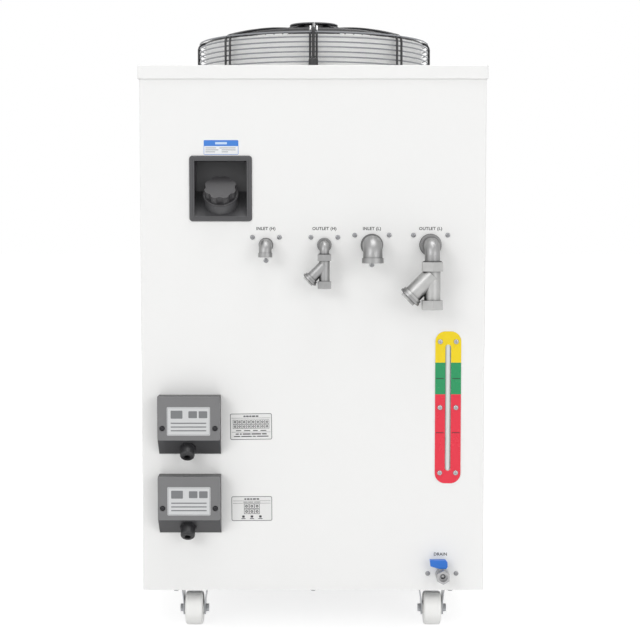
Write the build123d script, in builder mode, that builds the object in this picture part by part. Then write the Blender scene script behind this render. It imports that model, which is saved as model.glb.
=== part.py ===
from build123d import *
import os
from math import atan2, cos, degrees, hypot, pi, radians, sin, sqrt, tan

os.makedirs("parts", exist_ok=True)

# A free-standing recirculating chiller with two water circuits, on four swivel casters.
# All sizes are in millimetres and +Z is up. The panel with the hose ports faces -Y.
# The origin is on the floor under the middle of the overall box.

# Cabinet
body_width = 644.0
body_depth = 830.0
panel_foot = 81.0
sheet = 1.5
bend_radius = 3.0
panel_return = 20.0
cap_top = 1066.0
cap_lip = 25.0
cap_overhang = 3.0
panel_top_gap = 4.0

# Frame inside the panels
frame_sheet = 2.0
frame_leg = 30.0
rim_height = 45.0
lip_width = 24.0
deck_height = 88.0

# Clearances
fit = 0.06
gap = 0.3
screw_clearance = 0.2

# Hose ports on the port panel, named by circuit: h is half inch, l is one inch
port_height = 733.7
inlet_h_x, outlet_h_x = -87.8, 21.1
inlet_l_x, outlet_l_x = 109.8, 219.1
fitting_h = {
    "thread": 10.48, "bore": 7.5, "body": 11.8, "band": 13.0, "band_length": 8.0, "reach": 38.0,
    "elbow_drop": 22.0, "bend": 14.0, "street_body": 8.6, "street_bend": 10.0, "street_drop": 16.7,
    "screw_circle": 29.0,
}
fitting_l = {
    "thread": 16.62, "bore": 12.5, "body": 17.8, "band": 19.9, "band_length": 9.5, "reach": 48.0,
    "elbow_drop": 32.5, "bend": 20.0, "street_body": 14.0, "street_bend": 18.0, "street_drop": 30.3,
    "screw_circle": 37.0,
}
strainer_h = {
    "length": 63.0, "hex": 25.0, "top_hex": 11.6, "foot_hex": 13.5, "run": 9.75, "branch_drop": 19.4,
    "branch": 10.5, "branch_bore": 8.0, "collar": 13.35, "collar_length": 7.5, "branch_length": 44.0,
    "plug_hex": 21.0, "plug_head": 4.0, "screen": 7.0, "socket": 9.0,
}
strainer_l = {
    "length": 87.4, "hex": 37.5, "top_hex": 17.0, "foot_hex": 17.0, "run": 15.0, "branch_drop": 23.8,
    "branch": 17.0, "branch_bore": 13.5, "collar": 20.0, "collar_length": 10.0, "branch_length": 65.5,
    "plug_hex": 28.0, "plug_head": 5.5, "screen": 12.2, "socket": 12.0,
}
flange_thick = 3.0
flange_rim = 7.0
tail_length = 34.0
screen_wall = 0.6

# Pan-head screws in the port panel
screw_head = 4.5
screw_dome = 2.4
screw_shank = 2.0
screw_length = 9.0

# Filler recess, neck and cap
filler_x = -171.7
filler_foot = 777.7
bezel_width, bezel_height = 116.4, 121.7
bezel_frame = 9.4
bezel_proud = 3.5
bezel_ridge = 1.5
ridge_width = 2.6
recess_wall = 2.5
recess_slope = 45.0
recess_rise = 47.0
neck_radius = 30.5
neck_barrel = 22.5
spigot_radius = 25.4
spigot_length = 13.0
neck_bore = 21.0
neck_tail = 30.0
seal_thick = 2.5
cap_rim_radius = 33.0
cap_rim = 5.0
cap_grip_radius = 30.0
cap_height = 20.5
cap_lobes = 8
lobe_radius = 10.0
lobe_depth = 3.2

# Level gauge
gauge_x = 253.1
gauge_foot, gauge_height = 284.9, 288.2
gauge_width = 49.8
gauge_corner = 20.0
gauge_thick = 2.0
gauge_slot_width, gauge_slot_height = 10.5, 238.0
gauge_slot_centre = 428.6
gauge_screw_offset = 14.9
gauge_screw_heights = (553.0, 429.0, 305.4)
sight_radius = 6.5
sight_bore = 5.0
sight_extra = 24.0

# Terminal boxes
box_x = -231.0
box_feet = (192.0, 341.8)
box_width, box_height = 116.0, 111.3
box_depth = 33.0
box_wall = 2.5
box_slant = 30.0
lid_thick = 4.0
lid_corner = 3.0
lid_screw_offset = 49.0
lid_screw_drop = 59.0
lid_screw_sink = 5.5
gland_x = -234.0
gland_hex = 27.0
gland_base = 5.0
gland_radius = 14.0
gland_length = 24.0
gland_bore = 6.0
gland_thread = 10.0
terminal_rows = 6

# Drain valve
drain_x, drain_height = 243.5, 113.0
drain_neck = 10.0
drain_ball_radius = 7.0
drain_body_radius = 12.6
drain_hex = 23.0
drain_hex_length = 12.0
drain_hex_turn = 30.0
drain_reach = 36.0
drain_bore = 5.0
drain_socket = 8.0
drain_socket_depth = 10.0
drain_stem_reach = 18.0
stem_radius = 3.0
stem_boss = 6.5
lever_foot, lever_top = 126.6, 143.5
lever_left, lever_right = 219.0, 252.5
lever_thick = 11.0
drain_screw_offset = 26.9
drain_tail = 18.5

# Fan, its shroud and its wire guard, heights above the cap
shroud_radius = 229.0
shroud_sheet = 2.0
shroud_height = 80.0
shroud_flange = 12.0
guard_radius = 246.0
arm_wire = 4.0
ring_wire = 2.4
arm_pairs = 8
pair_spacing = 12.0
first_ring = 15.0
ring_pitch = 9.7
side_rings = 8
side_ring_facets = 32
guard_rim = 87.0
guard_corner = 15.0
top_rings = 10
top_ring_pitch = 18.0
top_ring_facets = 24
motor_plate_radius = 51.0
motor_plate_thick = 3.0
motor_plate_top = 126.0
arm_inner_end = 42.0
weld_gap = 0.05
stator_boss = 38.0
stator_radius = 48.0
stator_top, stator_foot = 113.0, 88.0
shaft_radius = 8.0
shaft_foot = 55.0
rotor_radius = 50.0
rotor_top, rotor_foot = 86.0, 20.0
blade_count = 5
blade_thick = 3.0
blade_tip_gap = 5.0
blade_height = 46.0
fan_cable_radius = 3.0
fan_gland_radius = 9.5
fan_gland_height = 30.0
fan_gland_from_guard = 11.5

# Casters
caster_x = 229.0
caster_inset = 80.0
caster_trail = 20.0
wheel_radius = 32.0
wheel_width = 33.5
wheel_shoulder = 5.0
hub_width = 37.2
hub_radius = 12.0
axle_radius = 4.0
axle_head = 13.5
axle_head_length = 6.0
fork_sheet = 2.5
fork_top_width, fork_foot_width = 51.0, 43.0
fork_round = 14.0
fork_crown_radius = 26.0
caster_plate_x, caster_plate_y = 60.0, 75.0
caster_plate_thick = 3.0
race_radius = 25.0
race_height = 5.0
kingpin_radius = 5.0
kingpin_nut = 16.0
kingpin_nut_length = 5.0

# Side intakes
intake_width, intake_height = 500.0, 470.0
intake_foot = 420.0
grille_rim = 14.0
grille_proud = 1.5
grille_depth = 12.0
slat_count = 16
slat_depth = 13.0
slat_thick = 1.5
slat_tilt = 40.0

# Controls on the hidden side
controller_width, controller_height = 190.0, 96.0
controller_foot = 880.0
controller_proud = 6.0
controller_depth = 55.0
display_width, display_height = 92.0, 46.0
display_sink = 1.2
button_radius = 7.0
button_names = ("button_set", "button_up", "button_down")
button_pitch = 22.0
button_proud = 2.5
button_sink = 6.0
switch_x, switch_height = 190.0, 820.0
switch_radius = 21.0
switch_skirt = 27.0
switch_reach = 28.0
switch_shaft = 5.0
switch_tail = 25.0
switch_skirt_height, switch_knob_height = 5.0, 12.0
switch_grip = 12.0

# Inner pieces
tank_width, tank_depth, tank_height = 440.0, 200.0, 440.0
tank_x, tank_foot = -5.0, 160.0
tank_from_panel = 45.0
tank_corner = 18.0
compressor_x, compressor_back = -150.0, 40.0
compressor_radius, compressor_height = 88.0, 300.0
compressor_foot, compressor_plate, compressor_lift = 16.0, 4.0, 18.0
pump_x, pump_back = 120.0, -10.0
pump_radius, pump_length = 68.0, 250.0
exchanger_x, exchanger_back = 20.0, 170.0
exchanger_width, exchanger_depth, exchanger_height = 120.0, 74.0, 310.0
condenser_thick, condenser_length, condenser_height = 44.0, 520.0, 500.0
condenser_foot = 405.0
condenser_gap = 6.0
fin_count = 12
fin_rib = 3.0
electrics_width, electrics_depth, electrics_height = 380.0, 130.0, 300.0
electrics_foot = 560.0

# What stands furthest out at the front and the back puts the cabinet off the origin
front_reach = fitting_l["reach"] + strainer_l["hex"] / 2 / cos(radians(30))
cabinet_y = (front_reach - switch_reach) / 2
panel_y = cabinet_y - body_depth / 2
rear_y = cabinet_y + body_depth / 2
frame_foot = panel_foot + sheet
frame_top = cap_top - sheet
frame_width = body_width - 2 * sheet
frame_depth = body_depth - 2 * sheet
fan_axis = Axis((0, cabinet_y, 0), (0, 0, 1))


def level(height):
    """A horizontal plane over the middle of the cabinet."""
    return Plane(origin=(0, cabinet_y, height))


def on_panel(x, height, proud=0.0):
    """A plane at a point of the port panel's face, looking out of the cabinet."""
    return Plane(origin=(x, panel_y - proud, height), x_dir=(1, 0, 0), z_dir=(0, -1, 0))


def on_rear(x, height, proud=0.0):
    """The same on the control panel, at the other end of the cabinet."""
    return Plane(origin=(x, rear_y + proud, height), x_dir=(-1, 0, 0), z_dir=(0, 1, 0))


def on_side(side, height, proud=0.0):
    """A plane on the right side panel (side is 1) or the left one (side is -1)."""
    face = side * (body_width / 2 + proud)
    return Plane(origin=(face, cabinet_y, height), x_dir=(0, side, 0), z_dir=(side, 0, 0))


def out_and_up(x, height=0.0):
    """An upright plane across the port panel: local x is out of it, local y is up."""
    return Plane(origin=(x, panel_y, height), x_dir=(0, -1, 0), z_dir=(-1, 0, 0))


# Cabinet frame: a folded base pan, four folded corner posts and a folded top ring

with BuildPart() as base_tray:
    with BuildSketch(level(frame_foot)):
        Rectangle(frame_width, frame_depth)
        Rectangle(frame_width - 2 * frame_sheet, frame_depth - 2 * frame_sheet, mode=Mode.SUBTRACT)
    extrude(amount=rim_height)
    with BuildSketch(level(frame_foot)):
        Rectangle(frame_width, frame_depth)
        Rectangle(frame_width - 2 * lip_width, frame_depth - 2 * lip_width, mode=Mode.SUBTRACT)
    extrude(amount=frame_sheet)
    with BuildSketch(level(deck_height)):
        Rectangle(frame_width - frame_sheet, frame_depth - frame_sheet)
    extrude(amount=frame_sheet)
    notch_width = 2 * (drain_screw_offset + flange_rim + 1.0)
    notch_foot = drain_height - drain_neck - 5.0
    notch_height = frame_foot + rim_height - notch_foot
    with BuildSketch(on_panel(drain_x, notch_foot + notch_height / 2, -sheet)):
        Rectangle(notch_width, notch_height)
    extrude(amount=-frame_sheet, mode=Mode.SUBTRACT)
base_tray.part.label = "base_tray"
export_step(base_tray.part, "parts/base_tray.step")

post_foot = frame_foot + rim_height
with BuildPart() as corner_posts:
    with BuildSketch(level(post_foot)):
        Rectangle(frame_width, frame_depth)
        inner_width, inner_depth = frame_width - 2 * frame_sheet, frame_depth - 2 * frame_sheet
        Rectangle(inner_width, inner_depth, mode=Mode.SUBTRACT)
        Rectangle(frame_width - 2 * frame_leg, frame_depth, mode=Mode.SUBTRACT)
        Rectangle(frame_width, frame_depth - 2 * frame_leg, mode=Mode.SUBTRACT)
    extrude(amount=frame_top - frame_leg - post_foot)
corner_posts.part.label = "corner_posts"
export_step(corner_posts.part, "parts/corner_posts.step")

with BuildPart() as top_frame:
    with BuildSketch(level(frame_top - frame_leg)):
        Rectangle(frame_width, frame_depth)
        Rectangle(inner_width, inner_depth, mode=Mode.SUBTRACT)
    extrude(amount=frame_leg)
    with BuildSketch(level(frame_top - frame_sheet)):
        Rectangle(frame_width, frame_depth)
        Rectangle(frame_width - 2 * frame_leg, frame_depth - 2 * frame_leg, mode=Mode.SUBTRACT)
    extrude(amount=frame_sheet)
top_frame.part.label = "top_frame"
export_step(top_frame.part, "parts/top_frame.step")

# Port panel: one folded sheet with side and bottom returns and a cut-out for each fitting

panel_top = frame_top - panel_top_gap
panel_height = panel_top - panel_foot
panel_middle = (panel_top + panel_foot) / 2
recess_width = bezel_width - 2 * bezel_frame
recess_height = bezel_height - 2 * bezel_frame
recess_foot = filler_foot + bezel_frame
recess_middle = recess_foot + recess_height / 2
port_places = (
    (inlet_h_x, fitting_h), (outlet_h_x, fitting_h), (inlet_l_x, fitting_l), (outlet_l_x, fitting_l),
)
port_screw_angles = (30, 150, 270)
gauge_middle = gauge_foot + gauge_height / 2


def port_screw_places():
    """The (x, z) of each screw that holds a port's inner flange to the panel."""
    return [
        (x + size["screw_circle"] * cos(radians(a)), port_height + size["screw_circle"] * sin(radians(a)))
        for x, size in port_places
        for a in port_screw_angles
    ]


def gauge_screw_places():
    """The (x, z) of each screw through the gauge plate."""
    return [(gauge_x + s * gauge_screw_offset, z) for z in gauge_screw_heights for s in (-1, 1)]


drain_screw_places = [(drain_x + s * drain_screw_offset, drain_height) for s in (-1, 1)]


def folded_panel(place):
    """The blank of an end panel: a face with a return at each side and at the foot."""
    with BuildPart() as blank:
        with BuildSketch(place(0, panel_middle)):
            Rectangle(body_width, panel_height)
        extrude(amount=-panel_return)
        front_edges = blank.edges().filter_by(Axis.Z).sort_by(Axis.Y)
        outer = front_edges[:2] if place is on_panel else front_edges[-2:]
        fillet(outer, bend_radius)
        with BuildSketch(place(0, panel_middle + sheet, -sheet)):
            Rectangle(frame_width, panel_height)
        extrude(amount=-panel_return, mode=Mode.SUBTRACT)
    return blank.part


with BuildPart() as port_panel:
    add(folded_panel(on_panel))
    with BuildSketch(on_panel(filler_x, recess_middle)):
        Rectangle(recess_width + 2 * (recess_wall + gap), recess_height + 2 * (recess_wall + gap))
    extrude(amount=-sheet, mode=Mode.SUBTRACT)
    for x, size in port_places:
        with BuildSketch(on_panel(x, port_height)):
            Circle(size["thread"] + gap)
        extrude(amount=-sheet, mode=Mode.SUBTRACT)
    with BuildSketch(on_panel(gauge_x, gauge_slot_centre)):
        Rectangle(2 * (sight_radius + gap), gauge_slot_height + sight_extra + 2 * gap)
    extrude(amount=-sheet, mode=Mode.SUBTRACT)
    with BuildSketch(on_panel(drain_x, drain_height)):
        Circle(drain_neck + gap)
    extrude(amount=-sheet, mode=Mode.SUBTRACT)
    with BuildSketch(on_panel(0, 0)):
        with Locations(*port_screw_places(), *gauge_screw_places(), *drain_screw_places):
            Circle(screw_shank + screw_clearance)
    extrude(amount=-sheet, mode=Mode.SUBTRACT)
port_panel.part.label = "port_panel"
export_step(port_panel.part, "parts/port_panel.step")

# Control panel, on the side away from the ports

controller_middle = controller_foot + controller_height / 2
body_cut = 8.0
with BuildPart() as control_panel:
    add(folded_panel(on_rear))
    with BuildSketch(on_rear(0, controller_middle)):
        Rectangle(controller_width - 2 * body_cut + 2 * gap, controller_height - 2 * body_cut + 2 * gap)
    extrude(amount=-sheet, mode=Mode.SUBTRACT)
    with BuildSketch(on_rear(switch_x, switch_height)):
        Circle(switch_shaft + gap)
    extrude(amount=-sheet, mode=Mode.SUBTRACT)
control_panel.part.label = "control_panel"
export_step(control_panel.part, "parts/control_panel.step")

# Side panels with a large intake, and a pull-off louvred grille in each

side_depth = body_depth - 2 * (panel_return + 1.0)
intake_middle = intake_foot + intake_height / 2
grille_width = intake_width - 2 * gap
grille_height = intake_height - 2 * gap
for side, side_name in ((-1, "left"), (1, "right")):
    with BuildPart() as side_panel:
        with BuildSketch(on_side(side, panel_middle)):
            Rectangle(side_depth, panel_height)
        extrude(amount=-sheet)
        with BuildSketch(on_side(side, panel_foot, -sheet)):
            with Locations((0, sheet / 2)):
                Rectangle(side_depth, sheet)
        extrude(amount=-panel_return)
        with BuildSketch(on_side(side, intake_middle)):
            Rectangle(intake_width, intake_height)
        extrude(amount=-sheet, mode=Mode.SUBTRACT)
    side_panel.part.label = f"{side_name}_panel"
    export_step(side_panel.part, f"parts/{side_name}_panel.step")

    with BuildPart() as side_grille:
        with BuildSketch(on_side(side, intake_middle)):
            Rectangle(intake_width + 2 * grille_rim, intake_height + 2 * grille_rim)
            Rectangle(grille_width - 2 * grille_rim, grille_height - 2 * grille_rim, mode=Mode.SUBTRACT)
        extrude(amount=grille_proud)
        with BuildSketch(on_side(side, intake_middle)):
            Rectangle(grille_width, grille_height)
            Rectangle(grille_width - 2 * grille_rim, grille_height - 2 * grille_rim, mode=Mode.SUBTRACT)
        extrude(amount=-grille_depth)
        slat_pitch = (grille_height - 2 * grille_rim) / (slat_count + 1)
        slat_length = grille_width - 2 * grille_rim
        slat_middle = grille_proud - slat_depth / 2 * cos(radians(slat_tilt)) - slat_thick
        for n in range(slat_count):
            slat_z = intake_foot + gap + grille_rim + (n + 1) * slat_pitch
            slat_place = Plane(
                origin=(side * (body_width / 2 + slat_middle), cabinet_y, slat_z),
                x_dir=(side * cos(radians(slat_tilt)), 0, -sin(radians(slat_tilt))),
                z_dir=(0, side, 0),
            )
            with BuildSketch(slat_place):
                Rectangle(slat_depth, slat_thick)
            extrude(amount=slat_length / 2, both=True)
    side_grille.part.label = f"{side_name}_grille"
    export_step(side_grille.part, f"parts/{side_name}_grille.step")

# Top cap: a folded lid with the fan opening

cap_width, cap_depth = body_width + 2 * cap_overhang, body_depth + 2 * cap_overhang
fan_opening = shroud_radius - shroud_sheet
guard_foot_radius = guard_radius - arm_wire - 6.0
fan_gland_y = cabinet_y - guard_radius - fan_gland_from_guard
foot_angles = [n * 360 / arm_pairs for n in range(arm_pairs)]
with BuildPart() as top_cap:
    with BuildSketch(level(cap_top - cap_lip)):
        Rectangle(cap_width, cap_depth)
    extrude(amount=cap_lip)
    fillet(top_cap.edges().filter_by(Axis.Z), bend_radius)
    fillet(top_cap.faces().sort_by(Axis.Z)[-1].edges(), sheet)
    with BuildSketch(level(cap_top - cap_lip)):
        Rectangle(cap_width - 2 * sheet, cap_depth - 2 * sheet)
    extrude(amount=cap_lip - sheet, mode=Mode.SUBTRACT)
    with BuildSketch(level(cap_top)):
        Circle(fan_opening)
        with Locations((0, fan_gland_y - cabinet_y)):
            Circle(fan_gland_radius / 2 + gap)
        with PolarLocations(guard_foot_radius, arm_pairs):
            Circle(screw_shank + screw_clearance)
    extrude(amount=-sheet, mode=Mode.SUBTRACT)
top_cap.part.label = "top_cap"
export_step(top_cap.part, "parts/top_cap.step")

# Fan shroud: a rolled ring with a foot flange, spun in one

with BuildPart() as fan_shroud:
    with BuildSketch(Plane(origin=(0, cabinet_y, cap_top), x_dir=(1, 0, 0), z_dir=(0, -1, 0))):
        inner = shroud_radius - shroud_sheet
        with BuildLine():
            Polyline(
                (inner, 0), (shroud_radius + shroud_flange, 0), (shroud_radius + shroud_flange, sheet),
                (shroud_radius, sheet), (shroud_radius, shroud_height - shroud_sheet),
                (shroud_radius + shroud_sheet, shroud_height - shroud_sheet),
                (shroud_radius + shroud_sheet, shroud_height), (inner, shroud_height), (inner, 0),
            )
        make_face()
    revolve(axis=fan_axis)
    with BuildSketch(level(cap_top)):
        with PolarLocations(guard_foot_radius, arm_pairs):
            Circle(screw_shank + screw_clearance)
    extrude(amount=sheet, mode=Mode.SUBTRACT)
fan_shroud.part.label = "fan_shroud"
export_step(fan_shroud.part, "parts/fan_shroud.step")

# Wire guard: eight bent pairs of arms, rings welded inside them and a plate for the motor

arm_radius = guard_radius - arm_wire / 2
arm_foot = sheet + arm_wire / 2
plate_foot = motor_plate_top - motor_plate_thick
dome_inner_height = plate_foot - arm_wire / 2
dome_outer_radius = arm_radius - guard_corner
dome_outer_height = guard_rim - arm_wire / 2
dome_slope = atan2(dome_inner_height - dome_outer_height, dome_outer_radius - arm_inner_end)
corner_turn = pi / 2 - dome_slope
corner_reach = guard_corner * tan(corner_turn / 2)
corner_x = arm_radius
corner_h = dome_outer_height - (arm_radius - dome_outer_radius) * tan(dome_slope)


def dome_height(radius):
    """The height of the arms' middle line over the cap, on the domed top."""
    return corner_h + (corner_x - radius) * tan(dome_slope)


corner_middle = guard_corner * (1 / cos(corner_turn / 2) - 1)
corner_lean = (pi / 2 + dome_slope) / 2
arm_points = (
    (guard_foot_radius - 2.0, arm_foot),
    (arm_radius, arm_foot),
    (arm_radius, corner_h - corner_reach),
    (
        corner_x - corner_middle * cos(corner_turn / 2),
        corner_h - corner_middle * sin(corner_turn / 2),
    ),
    (corner_x - corner_reach * cos(dome_slope), corner_h + corner_reach * sin(dome_slope)),
    (arm_inner_end, dome_inner_height),
)
with BuildPart() as guard_arm:
    with BuildLine(Plane(origin=(0, cabinet_y, cap_top), x_dir=(1, 0, 0), z_dir=(0, -1, 0))) as arm_path:
        Polyline(*arm_points)
    with BuildSketch(Plane(origin=arm_path.line @ 0, x_dir=(0, 1, 0), z_dir=arm_path.line % 0)):
        Rectangle(arm_wire, arm_wire)
    sweep(path=arm_path.line, transition=Transition.RIGHT)

ring_outer = guard_radius - arm_wire - weld_gap
with BuildPart() as fan_guard:
    add([
        guard_arm.part.translate((0, s * pair_spacing / 2, 0)).rotate(fan_axis, angle)
        for angle in foot_angles
        for s in (-1, 1)
    ])
    side_levels = [cap_top + first_ring + n * ring_pitch - ring_wire / 2 for n in range(side_rings)]
    with BuildSketch(*[level(height) for height in side_levels]):
        facet_turn = 180 / side_ring_facets
        RegularPolygon(ring_outer, side_ring_facets, major_radius=False, rotation=facet_turn)
        ring_inner = ring_outer - ring_wire
        RegularPolygon(
            ring_inner, side_ring_facets, major_radius=False, rotation=facet_turn, mode=Mode.SUBTRACT
        )
    for n in range(top_rings):
        ring_radius = dome_outer_radius - n * top_ring_pitch
        arm_under = dome_height(ring_radius + ring_wire) - arm_wire / 2 / cos(dome_slope)
        with BuildSketch(level(cap_top + arm_under - ring_wire - weld_gap)):
            RegularPolygon(ring_radius + ring_wire / 2, top_ring_facets)
            RegularPolygon(ring_radius - ring_wire / 2, top_ring_facets, mode=Mode.SUBTRACT)
    extrude(amount=ring_wire)
    with BuildSketch(level(cap_top + plate_foot)):
        Circle(motor_plate_radius)
    extrude(amount=motor_plate_thick)
fan_guard.part.label = "fan_guard"
export_step(fan_guard.part, "parts/fan_guard.step")

# Fan motor: the fixed half with its shaft, hung from the guard's plate

with BuildPart() as fan_stator:
    with BuildSketch(level(cap_top + stator_top)):
        Circle(stator_boss)
    extrude(amount=plate_foot - stator_top)
    with BuildSketch(level(cap_top + stator_foot)):
        Circle(stator_radius)
    extrude(amount=stator_top - stator_foot)
    with BuildSketch(level(cap_top + shaft_foot)):
        Circle(shaft_radius)
    extrude(amount=stator_foot - shaft_foot)
fan_stator.part.label = "fan_stator"
export_step(fan_stator.part, "parts/fan_stator.step")

# Fan rotor: the turning can with five twisted, swept blades

blade_sections = ((rotor_radius - 4.0, 84.0, 40.0, 0.0), (140.0, 112.0, 29.0, 7.0), (240.0, 136.0, 21.0, 20.0))
camber = 0.07
with BuildPart() as blade:
    for radius, chord, pitch, skew in blade_sections:
        turn = radians(skew)
        out = Vector(cos(turn), sin(turn), 0)
        along = Vector(-sin(turn), cos(turn), 0)
        tilt = radians(pitch)
        middle = Vector(0, cabinet_y, cap_top + blade_height) + out * radius
        section_plane = Plane(origin=middle, x_dir=along * cos(tilt) + Vector(0, 0, sin(tilt)), z_dir=out)
        half, rise = chord / 2, chord * camber
        with BuildSketch(section_plane):
            with BuildLine():
                ThreePointArc((-half, 0), (0, rise), (half, 0))
                Line((half, 0), (half, -blade_thick))
                ThreePointArc((half, -blade_thick), (0, rise - blade_thick), (-half, -blade_thick))
                Line((-half, -blade_thick), (-half, 0))
            make_face()
    loft()
    with BuildSketch(level(cap_top)):
        Circle(fan_opening - blade_tip_gap)
    extrude(amount=shroud_height, mode=Mode.INTERSECT)

with BuildPart() as fan_rotor:
    with BuildSketch(level(cap_top + rotor_foot)):
        Circle(rotor_radius)
    extrude(amount=rotor_top - rotor_foot)
    fillet(fan_rotor.faces().sort_by(Axis.Z)[0].edges(), rotor_radius / 8)
    for n in range(blade_count):
        add(blade.part.rotate(fan_axis, n * 360 / blade_count))
    with BuildSketch(level(cap_top + shaft_foot - gap)):
        Circle(shaft_radius + fit)
    extrude(amount=rotor_top - shaft_foot + gap, mode=Mode.SUBTRACT)
fan_rotor.part.label = "fan_rotor"
export_step(fan_rotor.part, "parts/fan_rotor.step")

# Fan cable: held between the front pair of arms, from the motor plate to its gland

cable_clear = gap + fan_cable_radius
cable_outer = guard_radius + fan_gland_from_guard
cable_start_height = dome_height(motor_plate_radius + cable_clear) + cable_clear
cable_points = [
    (motor_plate_radius + gap, cable_start_height + 1.0),
    (dome_outer_radius - guard_corner, dome_height(dome_outer_radius - guard_corner) + cable_clear),
    (arm_radius + 8.0, guard_rim + 2.5),
    (arm_radius + 9.0, guard_rim - 36.0),
    (cable_outer, fan_gland_height + 6.0),
    (cable_outer, fan_gland_height),
]
cable_radii = (60.0, 12.0, 24.0, 6.0)
with BuildPart() as fan_cable:
    with BuildLine(Plane(origin=(0, cabinet_y, cap_top), x_dir=(0, -1, 0), z_dir=(-1, 0, 0))) as cable_path:
        FilletPolyline(*cable_points, radius=cable_radii)
    with BuildSketch(Plane(origin=cable_path.line @ 0, z_dir=cable_path.line % 0)):
        Circle(fan_cable_radius)
    sweep(path=cable_path.line)
fan_cable.part.label = "fan_cable"
export_step(fan_cable.part, "parts/fan_cable.step")

# Filler recess: a moulded box with a sloping floor and a ridged bezel on the panel

floor_turn = radians(recess_slope)
recess_depth = bezel_proud + recess_rise / tan(floor_turn)
recess_crease = recess_foot + recess_rise
slope_middle = recess_rise / 2
neck_point = (filler_x, panel_y - bezel_proud + slope_middle / tan(floor_turn), recess_foot + slope_middle)
neck_axis = (0, -sin(floor_turn), cos(floor_turn))


def along_neck(distance):
    """A plane square to the neck, a distance up its axis from the sloping floor."""
    point = tuple(p + distance * d for p, d in zip(neck_point, neck_axis))
    return Plane(origin=point, x_dir=(1, 0, 0), z_dir=neck_axis)


with BuildPart() as filler_recess:
    with BuildSketch(on_panel(filler_x, filler_foot + bezel_height / 2)):
        RectangleRounded(bezel_width, bezel_height, 6.0)
    extrude(amount=bezel_proud)
    chamfer(filler_recess.faces().sort_by(Axis.Y)[0].edges(), 1.2)
    with BuildSketch(on_panel(filler_x, recess_middle, bezel_proud)):
        Rectangle(recess_width + 2 * ridge_width, recess_height + 2 * ridge_width)
    extrude(amount=bezel_ridge)
    wall_out = recess_wall / sin(floor_turn)
    with BuildSketch(out_and_up(filler_x)):
        with BuildLine():
            Polyline(
                (0, recess_foot - recess_wall),
                (0, recess_foot + recess_height + recess_wall),
                (bezel_proud - recess_depth - recess_wall, recess_foot + recess_height + recess_wall),
                (bezel_proud - recess_depth - recess_wall, recess_crease - recess_wall),
                (bezel_proud - recess_rise - recess_wall, recess_crease - recess_wall),
                (-recess_wall, recess_foot - recess_wall),
                (0, recess_foot - recess_wall),
            )
        make_face()
    extrude(amount=recess_width / 2 + recess_wall, both=True)
    with BuildSketch(out_and_up(filler_x)):
        mouth = bezel_proud + bezel_ridge
        with BuildLine():
            Polyline(
                (mouth, recess_foot), (mouth, recess_foot + recess_height),
                (bezel_proud - recess_depth, recess_foot + recess_height),
                (bezel_proud - recess_depth, recess_crease), (bezel_proud, recess_foot), (mouth, recess_foot),
            )
        make_face()
    extrude(amount=recess_width / 2, both=True, mode=Mode.SUBTRACT)
    with BuildSketch(along_neck(recess_wall)):
        Circle(neck_bore + recess_wall + gap)
    extrude(amount=-4 * recess_wall, mode=Mode.SUBTRACT)
filler_recess.part.label = "filler_recess"
export_step(filler_recess.part, "parts/filler_recess.step")

with BuildPart() as filler_neck:
    with BuildSketch(along_neck(0)):
        Circle(neck_radius)
    extrude(amount=neck_barrel)
    with BuildSketch(along_neck(neck_barrel)):
        Circle(spigot_radius)
    extrude(amount=spigot_length)
    with BuildSketch(along_neck(0)):
        Circle(neck_bore + recess_wall)
    extrude(amount=-neck_tail)
    with BuildSketch(along_neck(-neck_tail)):
        Circle(neck_bore)
    extrude(amount=neck_tail + neck_barrel + spigot_length, mode=Mode.SUBTRACT)
filler_neck.part.label = "filler_neck"
export_step(filler_neck.part, "parts/filler_neck.step")

spigot_top = neck_barrel + spigot_length
with BuildPart() as cap_seal:
    with BuildSketch(along_neck(spigot_top + gap / 2)):
        Circle(spigot_radius - gap)
        Circle(neck_bore + gap, mode=Mode.SUBTRACT)
    extrude(amount=seal_thick)
cap_seal.part.label = "cap_seal"
export_step(cap_seal.part, "parts/cap_seal.step")

cap_inside = spigot_top + gap / 2 + seal_thick + gap / 2
cap_foot = neck_barrel + gap
with BuildPart() as filler_cap:
    with BuildSketch(along_neck(cap_foot)):
        Circle(cap_rim_radius)
    extrude(amount=cap_rim)
    chamfer(filler_cap.edges(), 1.0)
    with BuildSketch(along_neck(cap_foot + cap_rim)):
        Circle(cap_grip_radius)
        with PolarLocations(cap_grip_radius + lobe_radius - lobe_depth, cap_lobes):
            Circle(lobe_radius, mode=Mode.SUBTRACT)
    extrude(amount=cap_height - cap_rim)
    with BuildSketch(along_neck(cap_foot)):
        Circle(spigot_radius + gap)
    extrude(amount=cap_inside - cap_foot, mode=Mode.SUBTRACT)
filler_cap.part.label = "filler_cap"
export_step(filler_cap.part, "parts/filler_cap.step")

# Level gauge: a slotted plate on the panel and the sight tube behind its slot

with BuildPart() as gauge_plate:
    with BuildSketch(on_panel(gauge_x, gauge_middle)):
        RectangleRounded(gauge_width, gauge_height, gauge_corner)
    extrude(amount=gauge_thick)
    with BuildSketch(on_panel(gauge_x, gauge_slot_centre)):
        SlotOverall(gauge_slot_height, gauge_slot_width, rotation=90)
    extrude(amount=gauge_thick, mode=Mode.SUBTRACT)
    with BuildSketch(on_panel(0, 0)):
        with Locations(*gauge_screw_places()):
            Circle(screw_shank + screw_clearance)
    extrude(amount=gauge_thick, mode=Mode.SUBTRACT)
gauge_plate.part.label = "gauge_plate"
export_step(gauge_plate.part, "parts/gauge_plate.step")

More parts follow.
